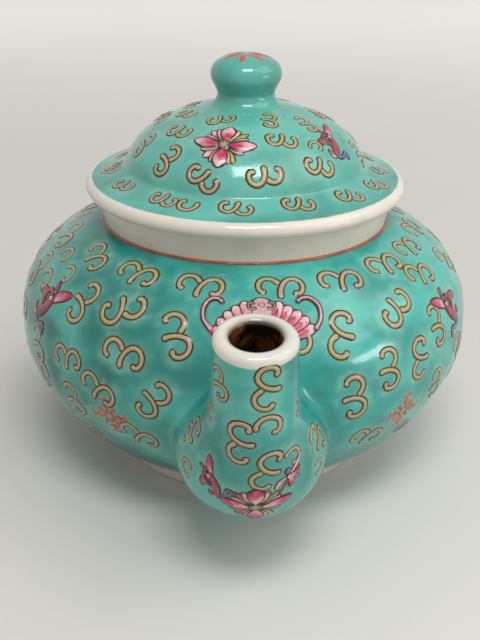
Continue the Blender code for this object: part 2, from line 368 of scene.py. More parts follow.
# Spout and handle surfaces

def cubic(share, points):
    """Points on the cubic curve through the first and last of four points."""
    share = share[:, None]
    rest = 1.0 - share
    first, first_pull, last_pull, last = np.array(points)
    start = rest ** 3 * first + 3.0 * rest ** 2 * share * first_pull
    return start + 3.0 * rest * share ** 2 * last_pull + share ** 3 * last


def spout_line(side, out_shares, height_shares):
    """Front (side 1) or back (side -1) line of the spout, as four points of reach and height."""
    lean = math.radians(spout_mouth_lean)
    reaches = [belly_radius - spout_root_depth]
    reaches += [belly_radius + spout_mouth_out * share for share in out_shares]
    heights = [neck_height * share for share in height_shares]
    tip_reach = belly_radius + spout_mouth_out + side * spout_lip_radius * math.cos(lean)
    tip_height = neck_height - side * spout_lip_radius * math.sin(lean)
    return list(zip(reaches, heights)) + [(tip_reach, tip_height)]


def spout_points(angle, shares, walls, lift=0.0):
    """Points along the spout at one angle round it, from the front, drawn in by its walls."""
    front = cubic(shares, spout_line(1.0, spout_front_out_shares, spout_front_height_shares))
    back = cubic(shares, spout_line(-1.0, spout_back_out_shares, spout_back_height_shares))
    middle = (front + back) / 2.0
    half = (front - back) / 2.0
    depth = np.linalg.norm(half, axis=1)
    drawn = eased((shares - spout_base_share) / (spout_waist_share - spout_base_share)) ** spout_taper
    lip = eased((shares - spout_waist_share) / (1.0 - spout_waist_share))
    width = spout_base_radius + (spout_waist_radius - spout_base_radius) * drawn
    width = width + (spout_lip_radius - spout_waist_radius) * lip - walls
    upper_side = max(-math.cos(angle), 0.0) ** spout_pear_spread
    width = width * (1.0 - spout_pear * (1.0 - drawn) * upper_side)
    deep = half / depth[:, None] * (depth - walls)[:, None] * math.cos(angle)
    rise = np.stack([-half[:, 1], half[:, 0]], axis=1) / depth[:, None] * lift
    reach = middle[:, 0] + deep[:, 0] + rise[:, 0]
    height = middle[:, 1] + deep[:, 1] + rise[:, 1]
    return np.stack([width * math.sin(angle), -reach, height], axis=1)


def spout_outside(sides, stations):
    """Outer lines of the spout, from the lip down to fillets on the pot."""
    shares = np.linspace(1.0, 0.0, line_steps)
    angles = np.arange(sides) * math.tau / sides
    lines = [spout_points(angle, shares, 0.0) for angle in angles]
    front_share = (1.0 + np.cos(angles)) / 2.0
    return filleted(lines, spout_fillet - spout_front_ease * front_share, stations)


def spout_inside(sides, stations):
    """Lines of the spout's bore, from inside the lip down to the pot's wall."""
    shares = np.linspace(1.0, 0.0, line_steps)
    close = eased((shares - spout_base_share) / (1.0 - spout_base_share))
    lip_wall = spout_lip_radius - spout_bore_radius
    walls = spout_wall + (lip_wall - spout_wall) * close
    lines = []
    for angle in np.arange(sides) * math.tau / sides:
        line = spout_points(angle, shares, walls)
        deep_enough = pot_clearance(line) < -bore_overrun
        last = max(int(np.argmax(deep_enough)), 1)
        lines.append(evenly(line[:last + 1], stations))
    return np.array(lines)


def handle_lines(sides, stations):
    """Lines along the handle from one root to the other, with fillets on the pot at both."""
    turn = np.radians(np.linspace(handle_lower_end, handle_upper_end, 2 * line_steps))
    share = np.linspace(0.0, 1.0, 2 * line_steps)
    reach = handle_centre_reach + handle_half_depth * np.cos(turn)
    height = handle_centre_height + handle_half_height * np.sin(turn)
    out = np.stack([handle_half_height * np.cos(turn), handle_half_depth * np.sin(turn)], axis=1)
    out = out / np.linalg.norm(out, axis=1)[:, None]
    swell = 1.0 + (handle_root_share - 1.0) * np.abs(2.0 * share - 1.0) ** 3
    upper_half = []
    lower_half = []
    for angle in np.arange(sides) * math.tau / sides:
        deep = handle_thickness / 2.0 * math.cos(angle) * swell
        across = -handle_width / 2.0 * math.sin(angle) * swell
        line = np.stack([across, reach + out[:, 0] * deep, height + out[:, 1] * deep], axis=1)
        upper_half.append(line[line_steps:])
        lower_half.append(line[line_steps - 1::-1])
    upper = filleted(upper_half, [handle_fillet] * sides, stations // 2)
    lower = filleted(lower_half, [handle_fillet] * sides, stations // 2)
    return np.concatenate([lower[:, ::-1], upper], axis=1)


# Mesh making

def turned(profile, closed, white=None, steps=turn_steps):
    """Spin (radius, height) points a full turn about Z. A closed profile makes a ring."""
    bm = bmesh.new()
    layer = bm.verts.layers.float.new("white")
    verts = [bm.verts.new((radius, 0.0, height)) for radius, height in profile]
    for place, vert in enumerate(verts):
        vert[layer] = 0.0 if white is None else float(white[place])
    edges = [bm.edges.new(pair) for pair in zip(verts, verts[1:])]
    if closed:
        edges.append(bm.edges.new((verts[-1], verts[0])))
    bmesh.ops.spin(
        bm, geom=verts + edges, cent=(0.0, 0.0, 0.0), axis=(0.0, 0.0, 1.0), dvec=(0.0, 0.0, 0.0),
        angle=math.tau, steps=steps, use_merge=True, use_duplicate=False,
    )
    return bm


def lofted(rings, closed=False, layers=None):
    """Extrude a ring of points through a row of rings. An open row gets a cap at each end."""
    bm = bmesh.new()
    layers = layers or {}
    kept = {name: bm.verts.layers.float.new(name) for name in layers}
    verts = [bm.verts.new(point) for point in rings[0]]
    edges = [bm.edges.new(pair) for pair in zip(verts, verts[1:] + verts[:1])]
    rows = [verts]
    if not closed:
        bmesh.ops.contextual_create(bm, geom=edges)
    order = list(range(1, len(rings))) + ([0] if closed else [])
    for place in order:
        grown = bmesh.ops.extrude_edge_only(bm, edges=edges)["geom"]
        new_verts = {item for item in grown if isinstance(item, bmesh.types.BMVert)}
        partners = []
        for vert, point in zip(verts, rings[place]):
            partner = next(
                edge.other_vert(vert) for edge in vert.link_edges if edge.other_vert(vert) in new_verts
            )
            partner.co = point
            partners.append(partner)
        verts = partners
        rows.append(verts)
        edges = [bm.edges.get(pair) for pair in zip(verts, verts[1:] + verts[:1])]
    if not closed:
        bmesh.ops.contextual_create(bm, geom=edges)
    for name, values in layers.items():
        cycle = list(values) + [values[0]]
        for row, value in zip(rows, cycle):
            for vert in row:
                vert[kept[name]] = float(value)
    return bm


def linked(name, data):
    """New object with its data, in the scene."""
    made = bpy.data.objects.new(name, data)
    bpy.context.scene.collection.objects.link(made)
    return made


def finished(name, bm, material, body, replaced=(), sharp_angle=40.0):
    """Merge, face outwards, shade, and put the piece in the frame."""
    bmesh.ops.remove_doubles(bm, verts=bm.verts, dist=weld_distance)
    bmesh.ops.recalc_face_normals(bm, faces=bm.faces)
    mesh = bpy.data.meshes.new(name)
    bm.to_mesh(mesh)
    bm.free()
    mesh.shade_smooth()
    mesh.set_sharp_from_angle(angle=math.radians(sharp_angle))
    mesh.materials.append(material)
    piece = linked(name, mesh)
    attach(piece, body)
    if replaced:
        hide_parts(*replaced)
    return piece


def clay(name, bm, glaze, body, node):
    """A clay piece that stands for a CAD node and hides it, in the named glaze."""
    return finished(name, bm, glazes[glaze], body, [node])


def add_cutter(bm, radius, placing):
    """Add a round rod to a shape that is to be taken out of a piece."""
    bmesh.ops.create_cone(
        bm, cap_ends=True, segments=hole_sides, radius1=radius, radius2=radius, depth=cutter_length,
        matrix=placing,
    )


def bored(piece, cutter_bm):
    """Take a shape out of a piece for good."""
    mesh = bpy.data.meshes.new("cutter")
    bmesh.ops.recalc_face_normals(cutter_bm, faces=cutter_bm.faces)
    cutter_bm.to_mesh(mesh)
    cutter_bm.free()
    cutter = linked("cutter", mesh)
    modifier = piece.modifiers.new("bore", "BOOLEAN")
    modifier.operation = "DIFFERENCE"
    modifier.object = cutter
    graph = bpy.context.evaluated_depsgraph_get()
    result = bpy.data.meshes.new_from_object(piece.evaluated_get(graph))
    piece.modifiers.clear()
    old = piece.data
    piece.data = result
    result.name = piece.name
    bpy.data.meshes.remove(old)
    bpy.data.objects.remove(cutter, do_unlink=True)
    bpy.data.meshes.remove(mesh)


# Material making

def connect(tree, socket, value):
    """Link a socket to another one, or set its plain value."""
    if isinstance(value, bpy.types.NodeSocket):
        tree.links.new(value, socket)
    else:
        socket.default_value = value


def add(tree, kind, inputs=None, **settings):
    """Add a node, with its settings, and with a value or a link for each named input."""
    made = tree.nodes.new(kind)
    for name, value in settings.items():
        setattr(made, name, value)
    for key, value in (inputs or {}).items():
        connect(tree, made.inputs[key], value)
    return made


def mixed(tree, share, first, second):
    """Colour between two colours."""
    made = add(tree, "ShaderNodeMix", {0: share}, data_type="RGBA")
    for socket, colour in ((made.inputs[6], first), (made.inputs[7], second)):
        connect(tree, socket, (*colour, 1.0) if isinstance(colour, tuple) else colour)
    return made.outputs[2]


def maths(tree, operation, first, second, clamp=False):
    made = add(tree, "ShaderNodeMath", {0: first, 1: second}, operation=operation, use_clamp=clamp)
    return made.outputs[0]


def times(tree, first, second, clamp=False):
    return maths(tree, "MULTIPLY", first, second, clamp)


def plus(tree, first, second, clamp=False):
    return maths(tree, "ADD", first, second, clamp)


def ranged(tree, value, low, high, to_low=0.0, to_high=1.0):
    """Smooth step of a value between two levels."""
    levels = {"Value": value, "From Min": low, "From Max": high, "To Min": to_low, "To Max": to_high}
    return add(tree, "ShaderNodeMapRange", levels, interpolation_type="SMOOTHSTEP").outputs["Result"]


def attribute(tree, name):
    return add(tree, "ShaderNodeAttribute", attribute_name=name).outputs["Fac"]


def group(name, values, result):
    """Shader node group that takes a place and some values, and gives one value."""
    tree = bpy.data.node_groups.new(name, "ShaderNodeTree")
    tree.interface.new_socket("Place", in_out="INPUT", socket_type="NodeSocketVector")
    for label, value in values.items():
        socket = tree.interface.new_socket(label, in_out="INPUT", socket_type="NodeSocketFloat")
        socket.default_value = value
    tree.interface.new_socket(result, in_out="OUTPUT", socket_type="NodeSocketFloat")
    return tree, tree.nodes.new("NodeGroupInput").outputs, tree.nodes.new("NodeGroupOutput").inputs


def make_cloud_group():
    """Soft cloudy mask: where a glaze or enamel lies thicker."""
    values = {"Patches per metre": 60.0, "Stretch": 1.0, "Low": 0.4, "High": 0.6}
    tree, start, end = group("enamel_clouds", values, "Mask")
    squeeze = add(tree, "ShaderNodeCombineXYZ", {"X": 1.0, "Y": 1.0, "Z": start["Stretch"]})
    squeezed = add(
        tree, "ShaderNodeVectorMath", {0: start["Place"], 1: squeeze.outputs[0]}, operation="MULTIPLY"
    )
    noise = add(tree, "ShaderNodeTexNoise", {
        "Vector": squeezed.outputs[0], "Scale": start["Patches per metre"],
        "Detail": 3.0, "Roughness": 0.55, "Distortion": 0.6,
    })
    tree.links.new(ranged(tree, noise.outputs["Fac"], start["Low"], start["High"]), end["Mask"])
    return tree


def make_speck_group():
    """Few small round specks: iron spots and pinholes in a glaze."""
    tree, start, end = group("glaze_specks", {"Cells per metre": 300.0, "Size": 0.12}, "Mask")
    cells = add(
        tree, "ShaderNodeTexVoronoi", {"Vector": start["Place"], "Scale": start["Cells per metre"]}
    )
    picked = ranged(tree, cells.outputs["Color"], low=0.86, high=0.90)
    near = maths(tree, "LESS_THAN", cells.outputs["Distance"], start["Size"])
    tree.links.new(times(tree, picked, near), end["Mask"])
    return tree


def make_ripple_group():
    """Height of the gentle unevenness that a fired glaze has."""
    tree, start, end = group("glaze_ripple", {"Waves per metre": 150.0, "Grain": 0.2}, "Height")
    slow = add(tree, "ShaderNodeTexNoise", {
        "Vector": start["Place"], "Scale": start["Waves per metre"], "Detail": 1.0,
    })
    fine = add(tree, "ShaderNodeTexNoise", {
        "Vector": start["Place"], "Scale": times(tree, start["Waves per metre"], 6.0), "Detail": 2.0,
    })
    grain = times(tree, fine.outputs["Fac"], start["Grain"])
    tree.links.new(plus(tree, slow.outputs["Fac"], grain), end["Height"])
    return tree


cloud_group = make_cloud_group()
speck_group = make_speck_group()
ripple_group = make_ripple_group()


def use(tree, shared, inputs):
    """Place a shared node group and give its only output."""
    return add(tree, "ShaderNodeGroup", inputs, node_tree=shared).outputs[0]


def clouds(tree, place, per_metre, low, high, stretch=1.0):
    return use(tree, cloud_group, {
        "Place": place, "Patches per metre": per_metre, "Stretch": stretch, "Low": low, "High": high,
    })


def specks(tree, place, per_metre, size):
    return use(tree, speck_group, {"Place": place, "Cells per metre": per_metre, "Size": size})


def new_material(name):
    """Material with its tree, shader and the piece's own coordinates."""
    material = bpy.data.materials.new(name)
    material.use_nodes = True
    tree = material.node_tree
    shader = tree.nodes["Principled BSDF"]
    place = add(tree, "ShaderNodeTexCoord").outputs["Object"]
    return material, tree, shader, place


def finish_material(tree, shader, place, colour, roughness, waves, depth, grain):
    """Connect colour and roughness, and the bump of an uneven glaze."""
    tree.links.new(colour, shader.inputs["Base Color"])
    connect(tree, shader.inputs["Roughness"], roughness)
    height = use(tree, ripple_group, {"Place": place, "Waves per metre": waves, "Grain": grain})
    bump = add(tree, "ShaderNodeBump", {"Height": height, "Strength": 1.0, "Distance": depth})
    tree.links.new(bump.outputs["Normal"], shader.inputs["Normal"])


# Colours of the glazes and of the bare clay
deep_teal = (0.005, 0.135, 0.110)
sea_teal = (0.017, 0.300, 0.265)
soft_aqua = (0.068, 0.422, 0.362)
pale_aqua = (0.210, 0.478, 0.382)
milk_white = (0.700, 0.640, 0.565)
cool_white = (0.615, 0.600, 0.545)
# The bore's tea stain is partly real and partly painted shade of the deep hole, hence almost black
tea_stain_shade_brown = (0.012, 0.005, 0.002)
tea_amber = (0.130, 0.050, 0.015)
clay_white = (0.640, 0.610, 0.540)
toasted_clay = (0.600, 0.520, 0.420)
iron_spot = (0.240, 0.150, 0.090)

# How strongly each layer of a glaze or an enamel shows, and how fine an enamel's flecks are
stroke_strength = 0.55
side_shade_strength = 0.80
lid_top_light_strength = 0.30
halo_strength = 0.58
speck_strength = 0.5
wobble_strength = 0.16
least_side_shade = 0.25
least_halo = 0.45
white_speck_strength = 0.35
tint_strength = 1.20
pool_strength = 0.30
fleck_fineness = 5.0


def white_colour(tree, place):
    """Slightly warm white glaze with faint clouds."""
    patches = clouds(tree, place, per_metre=38.0, low=0.35, high=0.70)
    return mixed(tree, patches, milk_white, cool_white)


def turquoise_colour(tree, place, strokes):
    """Turquoise in clouds and brush strokes, with painted shade on the body's -X side, painted light on
    the lid's top, and paler round the drawings.
    """
    broad = clouds(tree, place, per_metre=20.0, low=0.40, high=0.60, stretch=1.3)
    thin = clouds(tree, place, per_metre=120.0, low=0.46, high=0.74)
    ground = mixed(tree, broad, soft_aqua, sea_teal)
    ground = mixed(tree, times(tree, strokes, stroke_strength), ground, deep_teal)
    where = add(tree, "ShaderNodeSeparateXYZ", {0: place}).outputs
    # Painted shade: the body's -X side, away from the lamps, is darkened towards deep teal in broad
    # clouds
    shaded_side = ranged(tree, where["X"], low=0.004, high=-0.048)
    on_body = ranged(tree, where["Z"], low=0.086, high=0.064)
    painted_side_shade = times(tree, times(tree, shaded_side, on_body), plus(tree, broad, least_side_shade))
    ground = mixed(tree, times(tree, painted_side_shade, side_shade_strength, True), ground, deep_teal)
    # Painted light: the top of the lid is made paler, as where it faces the light from above
    painted_lid_top_light = ranged(tree, where["Z"], low=0.088, high=0.098)
    ground = mixed(tree, times(tree, painted_lid_top_light, lid_top_light_strength), ground, pale_aqua)
    halo = times(tree, attribute(tree, "halo"), plus(tree, thin, least_halo), True)
    ground = mixed(tree, times(tree, halo, halo_strength), ground, pale_aqua)
    spots = times(tree, specks(tree, place, per_metre=190.0, size=0.10), speck_strength)
    return mixed(tree, spots, ground, deep_teal)


def make_turquoise():
    """Turquoise ground, white where the glaze is left bare, and inside the spout a tea stain darkened
    with painted shade.
    """
    material, tree, shader, place = new_material("turquoise_glaze")
    strokes = clouds(tree, place, per_metre=42.0, low=0.38, high=0.70, stretch=1.7)
    ground = turquoise_colour(tree, place, strokes)
    wobble = times(tree, clouds(tree, place, per_metre=150.0, low=0.2, high=0.8), wobble_strength)
    bare = ranged(tree, plus(tree, attribute(tree, "white"), wobble), low=0.36, high=0.76)
    colour = mixed(tree, bare, ground, white_colour(tree, place))
    tea_patches = clouds(tree, place, per_metre=160.0, low=0.4, high=0.62)
    tea_and_shade = mixed(tree, tea_patches, tea_stain_shade_brown, tea_amber)
    # Inside the spout: real tea stain, painted darker for the shade in the bore
    colour = mixed(tree, attribute(tree, "stain_and_shade"), colour, tea_and_shade)
    roughness = ranged(tree, strokes, 0.0, 1.0, to_low=0.11, to_high=0.19)
    finish_material(tree, shader, place, colour, roughness, waves=110.0, depth=0.00030, grain=0.08)
    return material


def make_white():
    """White glaze with a few faint iron spots."""
    material, tree, shader, place = new_material("white_glaze")
    spots = times(tree, specks(tree, place, per_metre=260.0, size=0.08), white_speck_strength)
    colour = mixed(tree, spots, white_colour(tree, place), tea_amber)
    dull = clouds(tree, place, per_metre=60.0, low=0.3, high=0.7)
    roughness = ranged(tree, dull, 0.0, 1.0, to_low=0.08, to_high=0.15)
    finish_material(tree, shader, place, colour, roughness, waves=130.0, depth=0.00008, grain=0.10)
    return material


def make_bare():
    """Unglazed porcelain, toasted in patches by the fire."""
    material, tree, shader, place = new_material("bare_porcelain")
    toasted = clouds(tree, place, per_metre=70.0, low=0.42, high=0.70)
    colour = mixed(tree, toasted, clay_white, toasted_clay)
    colour = mixed(tree, specks(tree, place, per_metre=700.0, size=0.14), colour, iron_spot)
    roughness = ranged(tree, toasted, 0.0, 1.0, to_low=0.55, to_high=0.70)
    finish_material(tree, shader, place, colour, roughness, waves=900.0, depth=0.00006, grain=0.6)
    return material


def make_enamel(name, first, second, third, per_metre, tinted):
    """Raised enamel that pools darker and paler, or runs from one colour to another."""
    material, tree, shader, place = new_material(name)
    share = clouds(tree, place, per_metre, low=0.38, high=0.62)
    if tinted:
        deeper = times(tree, attribute(tree, "tint"), tint_strength)
        pooled = times(tree, share, pool_strength)
        share = ranged(tree, plus(tree, deeper, pooled), low=0.22, high=1.10)
    colour = mixed(tree, share, first, second)
    flecks = clouds(tree, place, per_metre * fleck_fineness, low=0.52, high=0.72)
    colour = mixed(tree, flecks, colour, third)
    roughness = ranged(tree, share, 0.0, 1.0, to_low=0.16, to_high=0.28)
    finish_material(tree, shader, place, colour, roughness, waves=500.0, depth=0.00003, grain=0.3)
    return material


glazes = {
    "turquoise_glaze": make_turquoise(), "white_glaze": make_white(), "bare_porcelain": make_bare(),
}

# Enamels: kind, name of its pieces, name of its material, three colours, patches in a metre
enamel_table = (
    ("line", "outlines", "brown_line_enamel",
     (0.030, 0.016, 0.011), (0.050, 0.022, 0.014), (0.055, 0.028, 0.017), 90.0),
    ("beige", "scrolls", "scroll_enamel",
     (0.400, 0.310, 0.165), (0.360, 0.330, 0.110), (0.460, 0.320, 0.230), 45.0),
    ("pink", "petals", "pink_enamel",
     (0.740, 0.470, 0.470), (0.420, 0.014, 0.075), (0.560, 0.120, 0.210), 200.0),
    ("maroon", "wings", "maroon_enamel",
     (0.200, 0.040, 0.050), (0.430, 0.045, 0.080), (0.110, 0.045, 0.040), 260.0),
    ("shade", "petal_shades", "crimson_enamel",
     (0.440, 0.020, 0.075), (0.520, 0.070, 0.160), (0.380, 0.012, 0.060), 220.0),
    ("pale", "pale_petals", "pale_pink_enamel",
     (0.600, 0.400, 0.370), (0.540, 0.260, 0.290), (0.640, 0.520, 0.440), 180.0),
    ("leaf", "leaves", "leaf_enamel",
     (0.380, 0.400, 0.060), (0.130, 0.250, 0.060), (0.450, 0.420, 0.120), 160.0),
    ("blue", "blue_touches", "blue_enamel",
     (0.075, 0.085, 0.290), (0.190, 0.170, 0.360), (0.330, 0.300, 0.430), 160.0),
    ("red", "red_ornaments", "iron_red_enamel",
     (0.480, 0.090, 0.028), (0.360, 0.052, 0.018), (0.560, 0.170, 0.070), 140.0),
)
enamel_finishes = {}
for kind, pieces, name, first, second, third, per_metre in enamel_table:
    enamel_finishes[kind] = make_enamel(name, first, second, third, per_metre, kind == "pink")


# The clay pieces

def make_pot_shell():
    """Hollow squat body, turquoise outside and white inside, with strainer holes."""
    outside = evenly(outside_curve, meridian_steps)[1:]
    softened = corner(base_radius - base_round, body_bottom + base_round, base_round, -90.0, -38.0, 4)
    profile = np.concatenate([
        [(0.0, body_bottom)], softened, outside, [(bore_radius, neck_height)],
        evenly(pot_inside(), inside_steps), [(0.0, floor_top)],
    ])
    white = np.ones(len(profile))
    first_turquoise = 1 + len(softened)
    white[first_turquoise:first_turquoise + len(outside)] = 0.0
    shell = clay("pot_shell", turned(profile, False, white), "turquoise_glaze", "pot", "pot_body")
    places = [(0.0, 0.0)]
    for step in range(strainer_ring_holes):
        angle = math.tau * step / strainer_ring_holes
        places.append((strainer_pitch * math.cos(angle), strainer_pitch * math.sin(angle)))
    holes = bmesh.new()
    level = Matrix.Rotation(math.pi / 2.0, 4, "X")
    for across, up in places:
        centre = Vector((across, pot_wall / 2.0 - belly_radius, strainer_height + up))
        add_cutter(holes, strainer_hole_radius, Matrix.Translation(centre) @ level)
    bored(shell, holes)
    return shell


def make_neck_rim():
    """Upright white collar, slightly flared, rounded at the top."""
    top = rim_height - collar_round
    bottom = neck_height - joint_overlap
    outer_top = corner(neck_radius + collar_flare - collar_round, top, collar_round, 0.0, 90.0)
    inner_top = corner(bore_radius + collar_round, top, collar_round, 90.0, 180.0)
    flare_start = (neck_radius, neck_height + collar_straight)
    side = evenly([(neck_radius - collar_tuck, bottom), flare_start, outer_top[0]], 12)
    profile = np.concatenate([[(bore_radius - bore_ease, bottom)], side[:-1], outer_top, inner_top])
    clay("neck_rim", turned(profile, True), "white_glaze", "pot", "neck_collar")


def make_foot():
    """Low ring that the pot stands on."""
    inner = foot_radius - foot_wall
    low_out = corner(foot_radius - foot_round, foot_round, foot_round, -90.0, 0.0)
    low_in = corner(inner + foot_round, foot_round, foot_round, 180.0, 270.0)
    top = body_bottom + foot_overlap
    profile = np.concatenate([low_out, [(foot_radius + foot_flare, top), (inner, top)], low_in])
    clay("foot", turned(profile, True), "bare_porcelain", "pot", "foot_ring")


def spout_lip():
    """Rings of points over the spout's round lip, from its bore to its outside."""
    lip_wall = spout_lip_radius - spout_bore_radius
    rings = []
    for turn in math.pi * np.arange(1, lip_steps) / lip_steps:
        wall = lip_wall * (1.0 + math.cos(turn)) / 2.0
        lift = spout_lip_round * math.sin(turn)
        ring = []
        for angle in np.arange(spout_sides) * math.tau / spout_sides:
            ring.append(spout_points(angle, np.ones(1), wall, lift)[0])
        rings.append(np.array(ring))
    return rings


def make_spout_piece():
    """Spout with a bulbous base that flows onto the pot, and a thick white lip."""
    outside = spout_outside(spout_sides, spout_stations)
    inside = spout_inside(spout_sides, bore_stations)
    lip = spout_lip()
    rings = [inside[:, place] for place in range(bore_stations - 1, -1, -1)] + lip
    first_outside = len(rings)
    rings += [outside[:, place] for place in range(outside.shape[1])]
    white = np.zeros(len(rings))
    white[:first_outside] = 1.0
    for place in range(first_outside, len(rings)):
        drop = rings[first_outside][0][2] - rings[place][0][2]
        white[place] = 1.0 - min(drop / white_lip_depth, 1.0)
    # Tea stain and painted shade: full down the bore, fading over the lip
    stain_and_shade = np.zeros(len(rings))
    stain_and_shade[:bore_stations] = 1.0
    stain_and_shade[bore_stations:bore_stations + len(tea_stain_and_shade_fade)] = tea_stain_and_shade_fade
    spout = lofted(rings, True, {"white": white, "stain_and_shade": stain_and_shade})
    return clay("spout_tube", spout, "turquoise_glaze", "pot", "spout")


def make_handle():
    """Loop handle whose two roots flow onto the pot."""
    lines = handle_lines(handle_sides, handle_stations)
    loop = lofted([lines[:, place] for place in range(lines.shape[1])])
    return clay("handle", loop, "turquoise_glaze", "pot", "loop_handle")


def dome_height(radius):
    """Height of the dome's outside at a radius."""
    angle = angle_at_radius(radius, dome_radius, dome_fullness)
    return dome_centre + dome_rise * math.sin(angle) ** (2.0 / dome_fullness)


dome_centre = rim_height + dome_centre_rise
knob_seat = dome_height(knob_foot_radius) + joint_gap
bead_radius = lid_radius - lid_edge_radius
bead_height = rim_height + seat_gap + lid_edge_radius - lid_edge_droop
bead_side = 40.0


def lid_top():
    """Upper line of the lid from the bead at its edge up to the knob."""
    bead = corner(bead_radius, bead_height, lid_edge_radius, bead_side, lid_edge_turn, 6)
    base_angle = angle_at_rise(dome_base_rise - dome_centre_rise, dome_rise, dome_fullness)
    crown_angle = angle_at_radius(knob_foot_radius, dome_radius, dome_fullness)
    dome = full_curve(dome_radius, dome_rise, dome_fullness, base_angle, crown_angle, dome_centre)
    shares = np.linspace(0.0, 1.0, hollow_steps)[1:-1]
    hollow = bead[-1] + (dome[0] - bead[-1]) * shares[:, None]
    hollow[:, 1] -= flange_hollow * np.linalg.norm(dome[0] - bead[-1]) * np.sin(shares * math.pi)
    return np.concatenate([bead, hollow, dome])


lid_line = lid_top()


def make_lid_cap():
    """Domed cap with a drooping flange, white underneath and round its edge."""
    hollow_radius = dome_radius - lid_wall
    hollow_rise = dome_rise - lid_wall
    under = full_curve(hollow_radius, hollow_rise, dome_fullness, math.pi / 2.0, 0.0, dome_centre)
    seat = rim_height + seat_gap
    flat = evenly([(hollow_radius, seat), (neck_radius + collar_flare, seat)], 6)
    bead = corner(bead_radius, bead_height, lid_edge_radius, -90.0, bead_side, 14)
    below = np.concatenate([evenly(under, lid_under_steps), flat, bead[:-1]])
    top = evenly(lid_line, lid_top_steps)
    profile = np.concatenate([below, top, [(0.0, top[-1][1])]])
    inside_edge = (profile[:, 0] - (lid_radius - white_edge_reach)) / white_edge_fade
    white = np.clip(inside_edge + 0.5, 0.0, 1.0)
    white[:len(below)] = 1.0
    lid = clay("lid_cap", turned(profile, False, white), "turquoise_glaze", "lid", "lid_dome")
    vent = bmesh.new()
    add_cutter(vent, vent_radius, Matrix.Translation((0.0, vent_offset, knob_seat)))
    bored(lid, vent)
    return lid


def make_seat_ring():
    """Unglazed ring under the lid that keeps it centred in the neck."""
    outer = bore_radius - ring_clearance
    inner = outer - ring_wall
    low = rim_height + ring_round - ring_depth
    lower_out = corner(outer - ring_round, low, ring_round, 0.0, -90.0)
    lower_in = corner(inner + ring_round, low, ring_round, -90.0, -180.0)
    profile = np.concatenate([[(inner, rim_height), (outer, rim_height)], lower_out, lower_in])
    ring = turned(profile, True)
    clay("seat_ring", ring, "bare_porcelain", "lid_carrier", "lid_locating_ring")


def knob_line():
    """Side of the knob from a skirt on the dome, in at the neck, out at the belly, to the crown."""
    skirt_radius = knob_foot_radius + knob_skirt
    skirt = np.array([skirt_radius, dome_height(skirt_radius) - knob_skirt_sink])
    neck_rise = knob_seat + knob_neck_rise
    neck = np.array([knob_neck_radius + knob_flare_out, neck_rise])
    pull = np.array([knob_neck_radius, knob_seat]) + knob_flare_pull
    share = np.linspace(0.0, 1.0, flare_steps)
    side = np.stack([
        knob_neck_radius + (knob_radius - knob_neck_radius) * eased(share),
        neck_rise + (knob_belly_rise - knob_neck_rise) * share,
    ], axis=1)
    crown = full_curve(
        knob_radius, knob_height - knob_belly_rise, knob_fullness, 0.0, math.pi / 2.0,
        knob_seat + knob_belly_rise,
    )
    return np.concatenate([bend(share, skirt, pull, neck), side[1:], crown[1:]])


def make_knob():
    """Waisted knob with a round crown, set on the dome."""
    side = evenly(knob_line(), knob_steps)
    low = side[0][1] - joint_overlap
    profile = np.concatenate([[(0.0, low), (side[0][0], low)], side])
    profile[-1][0] = 0.0
    shape = turned(profile, False, steps=knob_turn_steps)
    clay("knob", shape, "turquoise_glaze", "lid", "lid_knob")


pot_shell = make_pot_shell()
make_neck_rim()
make_foot()
spout_tube = make_spout_piece()
handle = make_handle()
lid_cap = make_lid_cap()
make_seat_ring()
make_knob()

pot_skin = turned_skin(outside_curve)
lid_skin = turned_skin(lid_line)
knob_skin = turned_skin(knob_line())
spout_skin = Skin(spout_outside(*spout_skin_steps)[:, ::-1])
handle_skin = Skin(handle_lines(*handle_skin_steps))


# Enamel drawings, flat, in millimetres

stroke_fineness = 80
petal_stops = 15
stroke_step = 0.95
stroke_sink = 0.03
shoulder_out = 0.80
shoulder_up = 0.85
end_stops = (0.02, 0.18, 0.50, 0.95)
end_clear = 1.5
end_swell = 0.25
swell_reach = 1.4
end_least = 0.12
petal_edge = 0.7
first_level = 0.05
level_step = 0.035
dot_sink = 0.06
dot_taper = 0.72

# Half width and outline of the hooks, which are thicker where they are painted smaller
scroll_line = (0.60, 0.46)
small_scroll_line = (0.74, 0.64)


def smooth_line(points):
    """Smooth curve through a few points, evenly spaced."""
    points = np.array(points, float)
    before = np.concatenate([[2.0 * points[0] - points[1]], points, [2.0 * points[-1] - points[-2]]])
    parts = []
    share = np.linspace(0.0, 1.0, 12, endpoint=False)[:, None]
    for first, second, third, fourth in zip(before, before[1:], before[2:], before[3:]):
        part = 2.0 * second + (third - first) * share
        part = part + (2.0 * first - 5.0 * second + 4.0 * third - fourth) * share ** 2
        part = part + (3.0 * second - first - 3.0 * third + fourth) * share ** 3
        parts.append(part / 2.0)
    parts.append(points[-1:])
    return evenly(np.concatenate(parts), stroke_fineness)


def line_widths(total, half_width, edge):
    """Stops along a line with round, slightly swollen ends, and how wide it is at each."""
    grown = half_width + edge
    ends = np.array(end_stops) * grown
    count = max(int(total / stroke_step), 6)
    middle = np.linspace(end_clear * grown, total - end_clear * grown, count)
    stops = np.concatenate([ends, middle, total - ends[::-1]])
    near = np.minimum(stops, total - stops)
    round_end = np.sqrt(np.clip(1.0 - (1.0 - np.minimum(near / grown, 1.0)) ** 2, 0.0, 1.0))
    swollen = 1.0 + end_swell * np.exp(-((near - grown) / (swell_reach * grown)) ** 2)
    widths = (half_width * swollen + edge) * np.maximum(round_end, end_least)
    return (stops / total) * (total + 2.0 * edge) - edge, widths


